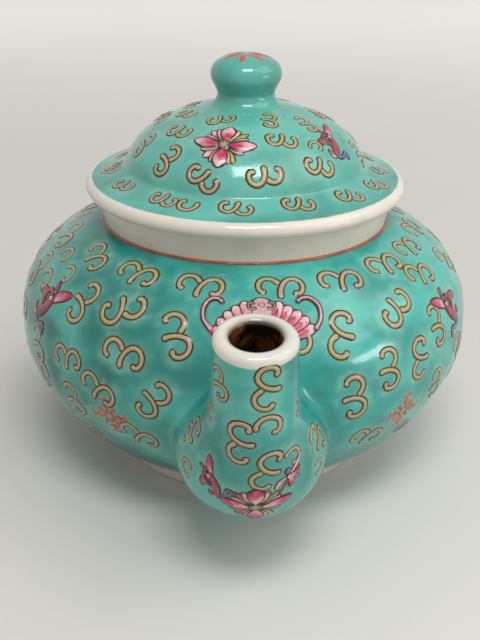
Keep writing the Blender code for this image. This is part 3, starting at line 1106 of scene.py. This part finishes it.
def petal_widths(total, half_width, edge, shape):
    """The same for a lobe, which is round at its tip, or a petal, which comes to a point. The
    powers set how soon its outline widens and how late it closes."""
    share = np.sin(np.linspace(0.0, math.pi / 2.0, petal_stops))
    if shape == "lobe":
        bulge = share ** 0.45 * np.sqrt(np.clip(1.0 - share ** 5, 0.0, 1.0)) * 1.08
    else:
        bulge = np.sin(math.pi * share ** 1.15) ** 0.72
    rim = edge * np.maximum(np.minimum(bulge * 2.5, 1.0), 0.08)
    stops = share * (total + 2.0 * petal_edge * edge) - petal_edge * edge
    return stops, half_width * np.maximum(bulge, 0.04) + rim


def stroke(points, half_width, lift, shape="line", edge=0.0):
    """One raised stroke: a line, a petal, a lobe, or a tipped petal, which is deeper in colour
    at its tip than at its root. The edge is how far an outline stands out round it."""
    line = smooth_line(points)
    along = lengths_along(line)
    total = along[-1]
    if shape == "line":
        stops, widths = line_widths(total, half_width, edge)
    else:
        stops, widths = petal_widths(total, half_width, edge, shape)
    inside = np.clip(stops, 0.0, total)
    slopes = np.stack([np.gradient(column, along) for column in line.T], axis=1)
    ahead = at_lengths(slopes, along, inside)
    ahead = ahead / np.linalg.norm(ahead, axis=1)[:, None]
    centres = at_lengths(line, along, inside) + ahead * (stops - inside)[:, None]
    side = np.stack([ahead[:, 1], -ahead[:, 0]], axis=1)
    section = [(-1.0, -stroke_sink), (-shoulder_out, lift * shoulder_up), (0.0, lift)]
    section += [(shoulder_out, lift * shoulder_up), (1.0, -stroke_sink)]
    rings = []
    for centre, across, width in zip(centres, side, widths):
        rings.append([(*(centre + across * width * out), up) for out, up in section])
    tint = inside / total
    return lofted(rings, False, {"tint": tint if shape == "tipped" else 1.0 - tint})


def dot(x, y, radius, lift):
    """One raised round dot."""
    bm = bmesh.new()
    layer = bm.verts.layers.float.new("tint")
    bmesh.ops.create_cone(
        bm, cap_ends=True, segments=14, radius1=radius, radius2=radius * dot_taper,
        depth=lift + dot_sink, matrix=Matrix.Translation((x, y, (lift - dot_sink) / 2.0)),
    )
    for vert in bm.verts:
        vert[layer] = 0.5
    return bm


def flat_mesh(name, parts):
    """Join flat strokes into one mesh that can be stamped."""
    joined = bmesh.new()
    joined.verts.layers.float.new("tint")
    for part in parts:
        part_mesh = bpy.data.meshes.new(name + "_part")
        part.to_mesh(part_mesh)
        part.free()
        joined.from_mesh(part_mesh)
        bpy.data.meshes.remove(part_mesh)
    bmesh.ops.recalc_face_normals(joined, faces=joined.faces)
    mesh = bpy.data.meshes.new(name)
    joined.to_mesh(mesh)
    joined.free()
    return mesh


def drawing(name, parts, edge=scroll_line[1]):
    """A motif: for each enamel, one flat mesh. Parts are (enamel, shape, points, width, level).
    Each part has an outline under it, but not the red ones, the shades and the lines."""
    strokes = {}
    for enamel, shape, points, width, level in parts:
        low = first_level + 2.0 * level_step * level
        high = low + level_step
        if shape == "dot":
            strokes.setdefault("line", []).append(dot(*points, width + edge * 0.7, low))
            strokes.setdefault(enamel, []).append(dot(*points, width, high))
        elif enamel in ("line", "red", "shade"):
            strokes.setdefault(enamel, []).append(stroke(points, width, low, shape))
        else:
            strokes.setdefault("line", []).append(stroke(points, width, low, shape, edge))
            strokes.setdefault(enamel, []).append(stroke(points, width, high, shape))
    return {enamel: flat_mesh(name + "_" + enamel, made) for enamel, made in strokes.items()}


def polar(reach, turn):
    """Point at a distance from the middle, in a direction in degrees."""
    angle = math.radians(turn)
    return reach * math.cos(angle), reach * math.sin(angle)


def petal_points(turn, start, end):
    """Axis of a petal that stands out from the middle of a flower."""
    return [polar(reach, turn) for reach in (start, (start + end) / 2.0, end)]


def circle_points(radius, height=0.0):
    """Points right round a small circle whose middle has a height on the drawing."""
    round_it = [polar(radius, turn) for turn in range(0, 361, 30)]
    return [(x, height + y) for x, y in round_it]


small_hook = (
    (-4.2, -2.0), (-5.3, -2.1), (-6.0, -0.6), (-5.6, 1.4), (-4.0, 2.7), (-1.9, 2.5), (-0.2, 0.9),
)
big_hook = (
    (0.0, -4.0), (-0.1, -2.0), (0.6, 0.5), (2.2, 2.4), (4.2, 2.6), (5.9, 1.2), (6.2, -1.0), (5.1, -2.6),
    (3.7, -2.1),
)
lone_hook = (
    (-3.4, -2.3), (-3.7, -0.4), (-2.6, 1.9), (-0.4, 2.8), (2.0, 2.2), (3.2, 0.2), (2.6, -1.8),
    (1.3, -1.7),
)


def hooks(name, curls, line):
    """Beige hooks one over another, of one width and outline."""
    width, edge = line
    parts = [("beige", "line", curl, width, level) for level, curl in enumerate(curls)]
    return drawing(name, parts, edge)


scroll = hooks("scroll", (small_hook, big_hook), scroll_line)
hook = hooks("hook", (lone_hook,), scroll_line)
small_scroll = hooks("small_scroll", (small_hook, big_hook), small_scroll_line)
small_lone_hook = hooks("small_lone_hook", (lone_hook,), small_scroll_line)


def lotus_parts(front_shape):
    """Open lotus seen from above: pale petals and leaves behind, deep pink petals in front."""
    parts = []
    for turn in (40.0, 306.0):
        parts.append(("leaf", "petal", petal_points(turn, 2.0, 7.6), 0.95, 0))
    for turn in (134.0, 226.0):
        parts.append(("pink", front_shape, petal_points(turn, 2.0, 7.2), 1.10, 0))
    for turn in (24.0, 62.0, 118.0, 156.0, 204.0, 246.0, 294.0, 336.0):
        parts.append(("pale", "petal", petal_points(turn, 1.6, 6.9), 1.0, 1))
    for turn in (14.0, 76.0, 104.0, 166.0, 194.0, 256.0, 284.0, 346.0):
        parts.append(("pink", front_shape, petal_points(turn, 1.6, 6.8), 1.0, 2))
    big_petals = ((0.0, 9.4, 1.85), (90.0, 7.6, 2.3), (180.0, 9.4, 1.85), (270.0, 7.8, 2.3))
    for turn, reach, width in big_petals:
        parts.append(("pink", front_shape, petal_points(turn, 1.4, reach), width, 3))
        near, far = (1.8, 0.62 * reach) if front_shape == "petal" else (0.55 * reach, 0.94 * reach)
        parts.append(("shade", "lobe", petal_points(turn, near, far), 0.42 * width, 4.6))
    parts.append(("beige", "dot", (0.0, 0.0), 1.95, 4))
    for turn in range(0, 360, 60):
        parts.append(("leaf", "dot", polar(1.2, turn), 0.26, 5))
    return parts


lotus = drawing("lotus", lotus_parts("petal"))
spout_lotus = drawing("spout_lotus", lotus_parts("tipped"))

bat = drawing("bat", [
    ("leaf", "petal", [(-0.6, -0.8), (-3.2, 0.6), (-4.6, 2.8)], 0.90, 0),
    ("maroon", "lobe", [(-0.4, 0.6), (-3.4, 2.6), (-7.2, 2.2)], 1.25, 0),
    ("pink", "tipped", [(0.2, 0.4), (3.4, 2.8), (8.4, 4.6)], 1.45, 1),
    ("maroon", "petal", [(0.4, 2.4), (0.9, 4.4), (0.2, 6.6)], 0.75, 1),
    ("maroon", "petal", [(2.4, 2.8), (-1.0, -1.4), (-5.6, -4.6)], 1.65, 2),
    ("maroon", "line", [(-2.6, -0.6), (-3.0, 1.8), (-1.6, 3.6), (0.6, 3.0)], 0.42, 3),
    ("pink", "lobe", [(-5.8, -1.0), (-6.6, -2.8), (-6.2, -4.6)], 0.80, 1),
    ("blue", "line", [(-5.0, -4.8), (-2.8, -6.2), (0.4, -5.8), (-0.2, -8.4)], 0.50, 2),
    ("blue", "dot", (1.4, 3.6), 0.60, 4),
    ("pale", "dot", (0.6, 1.6), 0.95, 4),
])

butterfly = drawing("butterfly", [
    ("maroon", "line", [(-0.6, -1.6), (-3.2, -4.4), (-6.4, -7.0)], 0.40, 0),
    ("pale", "petal", [(0.4, 0.6), (4.0, 2.4), (7.4, 5.4)], 0.95, 1),
    ("pale", "petal", [(-0.4, 0.4), (-3.4, -0.6), (-5.6, -3.2)], 0.90, 1),
    ("pink", "tipped", [(0.4, 0.0), (2.8, -0.8), (5.4, 0.4)], 1.20, 2),
    ("pink", "tipped", [(0.2, -0.2), (0.8, -2.8), (-0.2, -5.2)], 1.35, 2),
    ("blue", "petal", [(1.0, -0.6), (3.0, -2.6), (4.0, -4.2)], 0.75, 1),
    ("blue", "dot", (0.2, 2.8), 1.35, 3),
    ("pale", "dot", (0.2, 0.2), 1.10, 4),
])


def fan_parts():
    """Half-open flower in front of the collar: a fan of pink lobes between two curls."""
    left_tips = ((-13.8, 4.2), (-12.2, 7.0), (-10.0, 9.4), (-7.5, 11.3), (-4.9, 12.7))
    right_tips = ((14.4, 4.0), (12.7, 6.8), (10.5, 9.0), (7.8, 10.9), (5.0, 12.4))
    parts = []
    for tips, deep, shade_width in ((left_tips, 0.60, 0.60), (right_tips, 0.74, 0.95)):
        for level, (x, y) in enumerate(tips):
            base = (x * 0.50, y * 0.42 - 0.5)
            middle = ((x + base[0]) / 2.0, (y + base[1]) / 2.0 + 0.3)
            inner = (base[0] + (x - base[0]) * deep, base[1] + (y - base[1]) * deep)
            parts.append(("pink", "lobe", [base, middle, (x, y)], 2.05, level))
            parts.append(("shade", "lobe", [base, middle, inner], shade_width, level + 1.0))
    parts.append(("pale", "lobe", [(0.0, 4.0), (0.0, 9.0), (0.0, 13.8)], 4.0, 5))
    parts.append(("leaf", "petal", [(0.0, 0.5), (3.2, 1.2), (7.6, 0.4)], 1.1, 4))
    parts.append(("leaf", "petal", [(0.0, 0.5), (-3.2, 1.2), (-7.6, 0.4)], 1.1, 4))
    parts.append(("line", "line", circle_points(0.85, 11.6), 0.20, 6))
    curl = ((1.7, 10.6), (2.9, 10.3), (3.7, 11.4), (3.0, 12.5), (2.1, 12.1))
    for side in (-1.0, 1.0):
        parts.append(("beige", "line", [(x * side, y) for x, y in curl], 0.22, 6))
    left_curl = [(-14.0, 3.9), (-16.0, 7.0), (-15.6, 10.8), (-13.4, 13.4), (-11.0, 13.3), (-10.7, 12.3)]
    right_curl = [(14.6, 3.4), (16.3, 6.4), (16.0, 10.2), (13.4, 13.0), (10.6, 12.9), (10.3, 12.0)]
    parts.append(("pale", "line", left_curl, 0.42, 6))
    parts.append(("pale", "line", right_curl, 0.42, 6))
    parts.append(("shade", "lobe", [(-12.6, 5.0), (-13.6, 3.8), (-14.4, 3.2)], 1.2, 6))
    return parts


def rosette_parts():
    """Iron-red ornament: bars and small hooks round a ring, read the same from every side."""
    parts = []
    for turn in range(0, 360, 90):
        parts.append(("red", "petal", petal_points(turn, 1.4, 5.6), 0.80, 0))
        parts.append(("red", "petal", petal_points(turn + 45.0, 1.4, 4.2), 0.80, 0))
        side = np.array(polar(1.0, turn + 90.0))
        for reach, half in ((3.472, 1.5), (5.6, 1.9)):
            tip = np.array(polar(reach, turn))
            parts.append(("red", "line", [tip - side * half, tip, tip + side * half], 0.34, 0))
    parts.append(("red", "line", circle_points(1.5), 0.34, 1))
    return parts


def knob_flower_parts():
    """Red flower of seven petals with a thin line between each two."""
    parts = []
    pitch = 360.0 / 7.0
    for step in range(7):
        parts.append(("red", "petal", petal_points(pitch * step, 1.4, 7.8), 1.1, 0))
        parts.append(("red", "line", petal_points(pitch * (step + 0.5), 2.0, 5.2), 0.25, 0))
    return parts


fan = drawing("fan", fan_parts())
rosette = drawing("rosette", rosette_parts())
knob_flower = drawing("knob_flower", knob_flower_parts())


# Laying the drawings on the pot

walk_steps = 6
slope_step = 0.0002


class Enamel:
    """One painted piece: all the strokes of one enamel on one body."""

    def __init__(self, name, material, body, slot):
        self.name = name
        self.material = material
        self.body = body
        self.slot = slot
        self.bm = bmesh.new()
        self.bm.verts.layers.float.new("tint")

    def stamp(self, mesh, laid):
        """Add a flat drawing, each point moved to where a function lays it."""
        first = len(self.bm.verts)
        self.bm.from_mesh(mesh)
        self.bm.verts.ensure_lookup_table()
        fresh = self.bm.verts[first:]
        for vert, point in zip(fresh, laid(np.array([vert.co for vert in fresh]))):
            vert.co = point

    def finish(self):
        finished(self.name, self.bm, self.material, self.body, sharp_angle=60.0)


def lay(flat, skin, angle, share, turn, size, flip):
    """Where the points of a flat drawing come on a skin, walking up it and then across."""
    turn = math.radians(turn)
    across = flat[:, 0] * size * mm * (-1.0 if flip else 1.0)
    up = flat[:, 1] * size * mm
    x = across * math.cos(turn) - up * math.sin(turn)
    y = across * math.sin(turn) + up * math.cos(turn)
    angles = np.full(len(flat), math.radians(angle))
    shares = np.full(len(flat), float(share))
    for _ in range(walk_steps):
        along_it = skin.slopes(angles, shares)[1]
        shares = shares + y / walk_steps / np.linalg.norm(along_it, axis=1)
    for _ in range(walk_steps):
        round_it, along_it = skin.slopes(angles, shares)
        length = np.linalg.norm(along_it, axis=1)
        lean = (round_it * along_it).sum(axis=1) / length
        straight = round_it - along_it / length[:, None] * lean[:, None]
        turned_by = x / walk_steps / np.linalg.norm(straight, axis=1)
        angles = angles + turned_by
        shares = shares - turned_by * lean / length
    round_it, along_it = skin.slopes(angles, shares)
    out = np.cross(round_it, along_it)
    out = out / np.linalg.norm(out, axis=1)[:, None]
    return skin.point(angles, shares) + out * flat[:, 2:3] * mm


def lay_on_knob(flat):
    """Where the points of a flat drawing come on the crown of the knob, from its middle out."""
    line = knob_skin.grid[0][::-1] * (1.0, -1.0, 1.0)
    along = lengths_along(line)
    reach = np.hypot(flat[:, 0], flat[:, 1]) * mm
    near = at_lengths(line, along, reach)
    slope = at_lengths(line, along, reach + slope_step) - near
    slope = slope / np.linalg.norm(slope, axis=1)[:, None]
    radius = near[:, 1] - slope[:, 2] * flat[:, 2] * mm
    height = near[:, 2] + slope[:, 1] * flat[:, 2] * mm
    turn = np.arctan2(flat[:, 0], -flat[:, 1])
    return np.stack([radius * np.sin(turn), -radius * np.cos(turn), height], axis=1)


def make_enamels(body):
    """The painted pieces of one body, one for each enamel."""
    made = {}
    for kind, pieces in [row[:2] for row in enamel_table]:
        slot = "iron_red_enamel" if kind == "red" else "painted_enamel"
        made[kind] = Enamel(body + "_" + pieces, enamel_finishes[kind], body, slot)
    return made


pot_enamels = make_enamels("pot")
lid_enamels = make_enamels("lid")
halo_points = {"pot": [], "spout": [], "lid": [], "handle": []}


def paint(motif, enamels, skin, where, angle, share, turn, size=1.0, flip=False):
    """Paint one motif at an angle in degrees round a skin and a share along it."""
    def laid(flat):
        return lay(flat, skin, angle, share, turn, size, flip)

    for enamel, mesh in motif.items():
        enamels[enamel].stamp(mesh, laid)
    outline = motif.get("line") or motif["red"]
    halo_points[where].append(laid(np.array([vert.co for vert in outline.vertices])[::3]))


def on_pot(motif, angle, height, turn, size=1.0, flip=False):
    share = pot_skin.share_at(math.radians(angle), height * mm)
    paint(motif, pot_enamels, pot_skin, "pot", angle, share, turn, size, flip)


def on_lid(motif, angle, radius, turn, size=1.0):
    line = lid_skin.grid[0]
    share = float(np.interp(-radius * mm, line[:, 1], np.linspace(0.0, 1.0, len(line))))
    paint(motif, lid_enamels, lid_skin, "lid", angle, share, turn, size)


def on_spout(motif, angle, height, turn, size=1.0):
    share = spout_skin.share_at(math.radians(angle), height * mm)
    paint(motif, pot_enamels, spout_skin, "spout", angle, share, turn, size)


def each(put, motif, places):
    """Paint a motif at each of a table of places."""
    for place in places:
        put(motif, *place)


# Places on the pot: angle from the spout in degrees, height in mm, turn in degrees, size
each(on_pot, scroll, (
    (-55.3, 75.4, -30, 0.95), (-35.5, 75.4, -6, 1.0), (-14.6, 75.4, -5, 1.0), (8.8, 75.4, -5, 1.0),
    (27.9, 75.2, -11, 1.0), (47.1, 75.4, -9, 1.0), (64.9, 75.4, -12, 0.95),
    (-46.0, 67.3, -102, 1.0), (-33.0, 68.6, -152, 1.05), (-17.3, 66.0, -64, 1.0),
    (21.3, 65.3, 72, 1.0), (39.9, 67.4, -150, 1.0), (56.7, 71.2, -20, 0.95), (51.9, 59.2, -84, 0.95),
    (-46.0, 52.4, 4, 0.9), (-29.5, 59.2, -8, 1.0), (-60.0, 50.0, -64, 0.9),
    (42.7, 52.9, 88, 0.95), (32.9, 53.9, -83, 0.95), (65.3, 46.8, -22, 0.95),
    (-35.9, 47.1, -24, 0.95), (-21.2, 48.0, -127, 0.96), (23.5, 48.5, -81, 1.0),
    (-44.8, 39.0, -69, 0.85), (-26.4, 34.3, -22, 0.9), (29.4, 32.1, -18, 0.9), (51.6, 40.5, -70, 0.85),
))
each(on_pot, hook, (
    (-67.6, 72.6, -10, 0.8), (-66.5, 66.4, -40, 0.85), (-58.5, 70.4, -60, 0.75), (11.4, 65.0, -92, 0.9),
))
each(on_pot, rosette, ((-33.4, 38.6, 10, 1.05), (39.0, 37.4, 0, 1.05)))
on_pot(fan, 2.8, 64.6, 0, 0.98)
on_pot(bat, -58.5, 62.6, 4, 1.12)
on_pot(bat, 59.5, 60.6, -2, 1.05, flip=True)

# Places on the lid: angle, distance from the axis in mm, turn, size
each(on_lid, small_scroll, (
    (7.6, 34.8, -172, 0.76), (-21.3, 35.6, 152, 0.76), (-43.9, 33.4, -105, 0.76),
    (-5.1, 41.2, 170, 0.70), (20.0, 40.6, 168, 0.70), (44.9, 41.6, 158, 0.68), (65.7, 42.6, 150, 0.66),
    (-35.6, 41.2, 176, 0.66), (-61.3, 41.4, -168, 0.62), (-86.0, 41.2, -165, 0.62),
    (36.8, 34.3, 162, 0.74), (21.8, 26.2, 164, 0.68), (-51.9, 25.4, -172, 0.66),
    (-27.1, 17.0, -150, 0.62), (23.2, 16.8, -110, 0.62), (53.7, 21.6, -97, 0.60),
    (-72.8, 19.0, -160, 0.60), (-70.0, 32.5, -100, 0.66), (76.1, 35.0, -83, 0.66),
    (86.0, 42.0, 150, 0.62), (92.0, 21.5, -150, 0.60),
))
each(on_lid, small_lone_hook, ((-24.6, 41.4, 176, 0.74), (41.8, 29.4, -30, 0.55)))
each(on_lid, lotus, ((-14.6, 27.3, -3, 0.98), (180.0, 31.0, 10, 0.95)))
each(on_lid, bat, ((57.5, 29.6, 14, 0.86), (-116.0, 30.2, -14, 0.86)))

# Rows round the back of the lid: distance from the axis, first angle, pitch, count, turn, size
lid_back_rows = (
    (41.7, 107.0, 20.6, 9, 172, 0.64), (34.2, 100.0, 25.5, 7, 150, 0.72),
    (25.6, 104.0, 41.0, 5, 186, 0.66), (17.2, 140.0, 58.0, 3, 165, 0.60),
)
lid_row_sway = 22.0
back_flower_width = 14.0
back_flower_top = 38.0
for row, (radius, first, pitch, count, lead_turn, size) in enumerate(lid_back_rows):
    for step in range(count):
        angle = first + pitch * step
        turn = lead_turn + lid_row_sway * math.sin(2.1 * step + row)
        if abs(angle - 180.0) > back_flower_width or radius > back_flower_top:
            on_lid(small_scroll, angle, radius, turn, size)

# Places on the spout: angle from its front, height in mm, turn, size
each(on_spout, scroll, (
    (12.0, 71.4, 84, 0.90), (-21.0, 56.0, 90, 0.94), (13.0, 47.2, 70, 0.96), (92.0, 47.5, -76, 0.85),
    (-95.0, 50.0, 80, 0.80), (-55.0, 70.6, -65, 0.66),
))
each(on_spout, hook, (
    (18.0, 61.2, -16, 0.88), (50.0, 49.5, -62, 0.72), (75.0, 62.0, -90, 0.65), (-78.0, 61.0, 90, 0.65),
    (-70.0, 40.0, 110, 0.70), (70.0, 39.5, -115, 0.62),
))
on_spout(spout_lotus, 2.0, 34.4, 0, 1.0)
on_spout(butterfly, 38.0, 43.8, 0, 0.74)
on_spout(bat, -44.0, 41.6, 84, 0.78)

# Rows round the back of the pot: height, first angle, pitch, count, turn, size
back_rows = (
    (75.4, 84.0, 19.5, 11, -8, 1.0), (66.5, 78.0, 17.2, 13, -70, 0.98), (53.5, 82.0, 14.4, 15, 18, 0.96),
    (39.0, 67.0, 15.6, 16, -150, 0.92), (26.0, 45.0, 19.3, 15, -14, 0.80),
)
pot_row_sway = 26.0
pot_row_lift = 1.3
handle_span = (24.0, 73.0)
handle_half_angle = 9.0
for row, (height, first, pitch, count, lead_turn, size) in enumerate(back_rows):
    beside_handle = handle_span[0] < height < handle_span[1]
    for step in range(count):
        angle = first + pitch * step
        turn = lead_turn + pot_row_sway * math.sin(2.4 * step + row) + 180.0 * (step % 2)
        lift = pot_row_lift * math.sin(1.7 * step + 2.0 * row)
        if abs(angle - 180.0) > (handle_half_angle if beside_handle else 0.0):
            on_pot(scroll, angle, height + lift, turn, size)

# Down the outside of the handle: shares of its length from the lower root, and turns
for share, turn in ((0.16, 90), (0.30, -90), (0.44, 90), (0.58, -90), (0.72, 90), (0.86, -90)):
    paint(small_scroll, pot_enamels, handle_skin, "handle", 0.0, share, turn, 0.62)

lid_enamels["red"].stamp(knob_flower["red"], lay_on_knob)
for enamel in (*pot_enamels.values(), *lid_enamels.values()):
    if len(enamel.bm.verts):
        enamel.finish()
    else:
        enamel.bm.free()

# Thin red lines right round the pot: name, radius, height, half thickness
red_lines = (
    ("collar_red_line", neck_radius + 0.0001, neck_height + 0.0001, 0.00042),
    ("foot_red_line", foot_radius + 0.0003, foot_height - 0.0001, 0.00045),
)
for name, radius, height, size in red_lines:
    shape = turned(corner(radius, height, size, 0.0, 330.0, 11), True)
    finished(name, shape, enamel_finishes["red"], "pot")


def shade_round_drawings(piece, points):
    """Mark how near each point of a glazed piece is to a drawing, for the paler ground there."""
    cloud = np.concatenate(points)
    tree = kdtree.KDTree(len(cloud))
    for place, point in enumerate(cloud):
        tree.insert(point, place)
    tree.balance()
    halo = piece.data.attributes.new("halo", "FLOAT", "POINT")
    gaps = np.array([tree.find(vert.co)[2] for vert in piece.data.vertices])
    halo.data.foreach_set("value", np.exp(-(gaps / halo_reach) ** 2))


for piece, where in ((pot_shell, "pot"), (lid_cap, "lid"), (spout_tube, "spout"), (handle, "handle")):
    shade_round_drawings(piece, halo_points[where])


# Floor, lamps and camera

# The floor's glow and the backdrop's seen colour show only where they are seen directly
floor_radius = 9.0
floor_glow = (0.370, 0.361, 0.346, 1.0)
backdrop_light = (0.435, 0.427, 0.412)
backdrop_seen = (0.730, 0.717, 0.692)

# Lamps: name, azimuth from +Y, elevation, distance, width, height, power, colour
lamps = (
    ("high_window", 175.0, 62.0, 0.90, 0.40, 0.26, 4.2, (0.98, 0.99, 1.0)),
    ("side_window", 118.0, 6.5, 0.95, 0.36, 0.12, 1.1, (0.98, 0.99, 1.0)),
    ("room_light", 106.0, 46.0, 1.60, 1.50, 1.20, 9.8, (1.0, 0.98, 0.95)),
)
lamp_aim = Vector((0.0, 0.0, 0.06))

# Camera, fitted to the photograph's outlines: a frame 480 pixels wide
frame_width = 480.0
focal_pixels = 918.46
sensor_width = 36.0
camera_place = (-0.00917, -0.28043, 0.17515)
camera_pitch = 25.751
camera_yaw = 1.654
camera_roll = 0.624


def direction_to(azimuth, elevation):
    """Direction of length 1: azimuth 0 is +Y and 90 is +X, in degrees."""
    turn = math.radians(azimuth)
    lift = math.radians(elevation)
    return Vector((math.sin(turn) * math.cos(lift), math.cos(turn) * math.cos(lift), math.sin(lift)))


def seen_directly(tree):
    """1 for what the camera, a reflection or a see-through part shows, 0 for light on the pot."""
    path = add(tree, "ShaderNodeLightPath").outputs
    seen = plus(tree, path["Is Camera Ray"], path["Is Glossy Ray"])
    return plus(tree, seen, path["Is Transmission Ray"], True)


def make_floor():
    """Plain pale floor that stays as pale far off as it is round the pot."""
    bm = bmesh.new()
    bmesh.ops.create_circle(bm, cap_ends=True, segments=96, radius=floor_radius)
    mesh = bpy.data.meshes.new("floor")
    bm.to_mesh(mesh)
    bm.free()
    material, tree, shader, place = new_material("pale_floor")
    patches = clouds(tree, place, per_metre=3.0, low=0.3, high=0.7)
    colour = mixed(tree, patches, (0.640, 0.620, 0.590), (0.665, 0.648, 0.620))
    finish_material(tree, shader, place, colour, 0.55, waves=400.0, depth=0.00005, grain=0.5)
    distance = add(tree, "ShaderNodeVectorMath", {0: place}, operation="LENGTH").outputs["Value"]
    far_off = ranged(tree, distance, low=0.12, high=1.20)
    shader.inputs["Emission Color"].default_value = floor_glow
    tree.links.new(times(tree, far_off, seen_directly(tree)), shader.inputs["Emission Strength"])
    mesh.materials.append(material)
    floor = linked("floor", mesh)


def make_world():
    """Even light from a plain backdrop all round, which is paler where it is seen."""
    world = bpy.data.worlds.new("studio")
    bpy.context.scene.world = world
    world.use_nodes = True
    tree = world.node_tree
    tree.nodes.clear()
    tone = mixed(tree, seen_directly(tree), backdrop_light, backdrop_seen)
    backdrop = add(tree, "ShaderNodeBackground", {"Color": tone, "Strength": 1.0})
    add(tree, "ShaderNodeOutputWorld", {"Surface": backdrop.outputs[0]})


def make_lamp(name, azimuth, elevation, distance, width, height, power, colour):
    """Soft rectangular lamp that faces the pot."""
    data = bpy.data.lights.new(name, "AREA")
    data.shape = "RECTANGLE"
    data.size = width
    data.size_y = height
    data.energy = power
    data.color = colour
    lamp = linked(name, data)
    direction = direction_to(azimuth, elevation)
    lamp.location = lamp_aim + direction * distance
    lamp.rotation_euler = (-direction).to_track_quat("-Z", "Y").to_euler()


def make_camera():
    """Camera where the photograph was taken from."""
    data = bpy.data.cameras.new("photo_camera")
    data.sensor_fit = "HORIZONTAL"
    data.sensor_width = sensor_width
    data.lens = sensor_width * focal_pixels / frame_width
    data.clip_start = 0.01
    data.clip_end = 20.0
    camera = linked("photo_camera", data)
    ahead = direction_to(camera_yaw, -camera_pitch)
    right = ahead.cross(Vector((0.0, 0.0, 1.0))).normalized()
    up = right.cross(ahead)
    roll = math.radians(camera_roll)
    rolled_right = right * math.cos(roll) + up * math.sin(roll)
    rolled_up = up * math.cos(roll) - right * math.sin(roll)
    turn = Matrix((rolled_right, rolled_up, -ahead)).transposed().to_4x4()
    camera.matrix_world = Matrix.Translation(camera_place) @ turn
    bpy.context.scene.camera = camera


make_floor()
make_world()
for lamp in lamps:
    make_lamp(*lamp)
make_camera()
bpy.context.scene.view_settings.view_transform = "Standard"
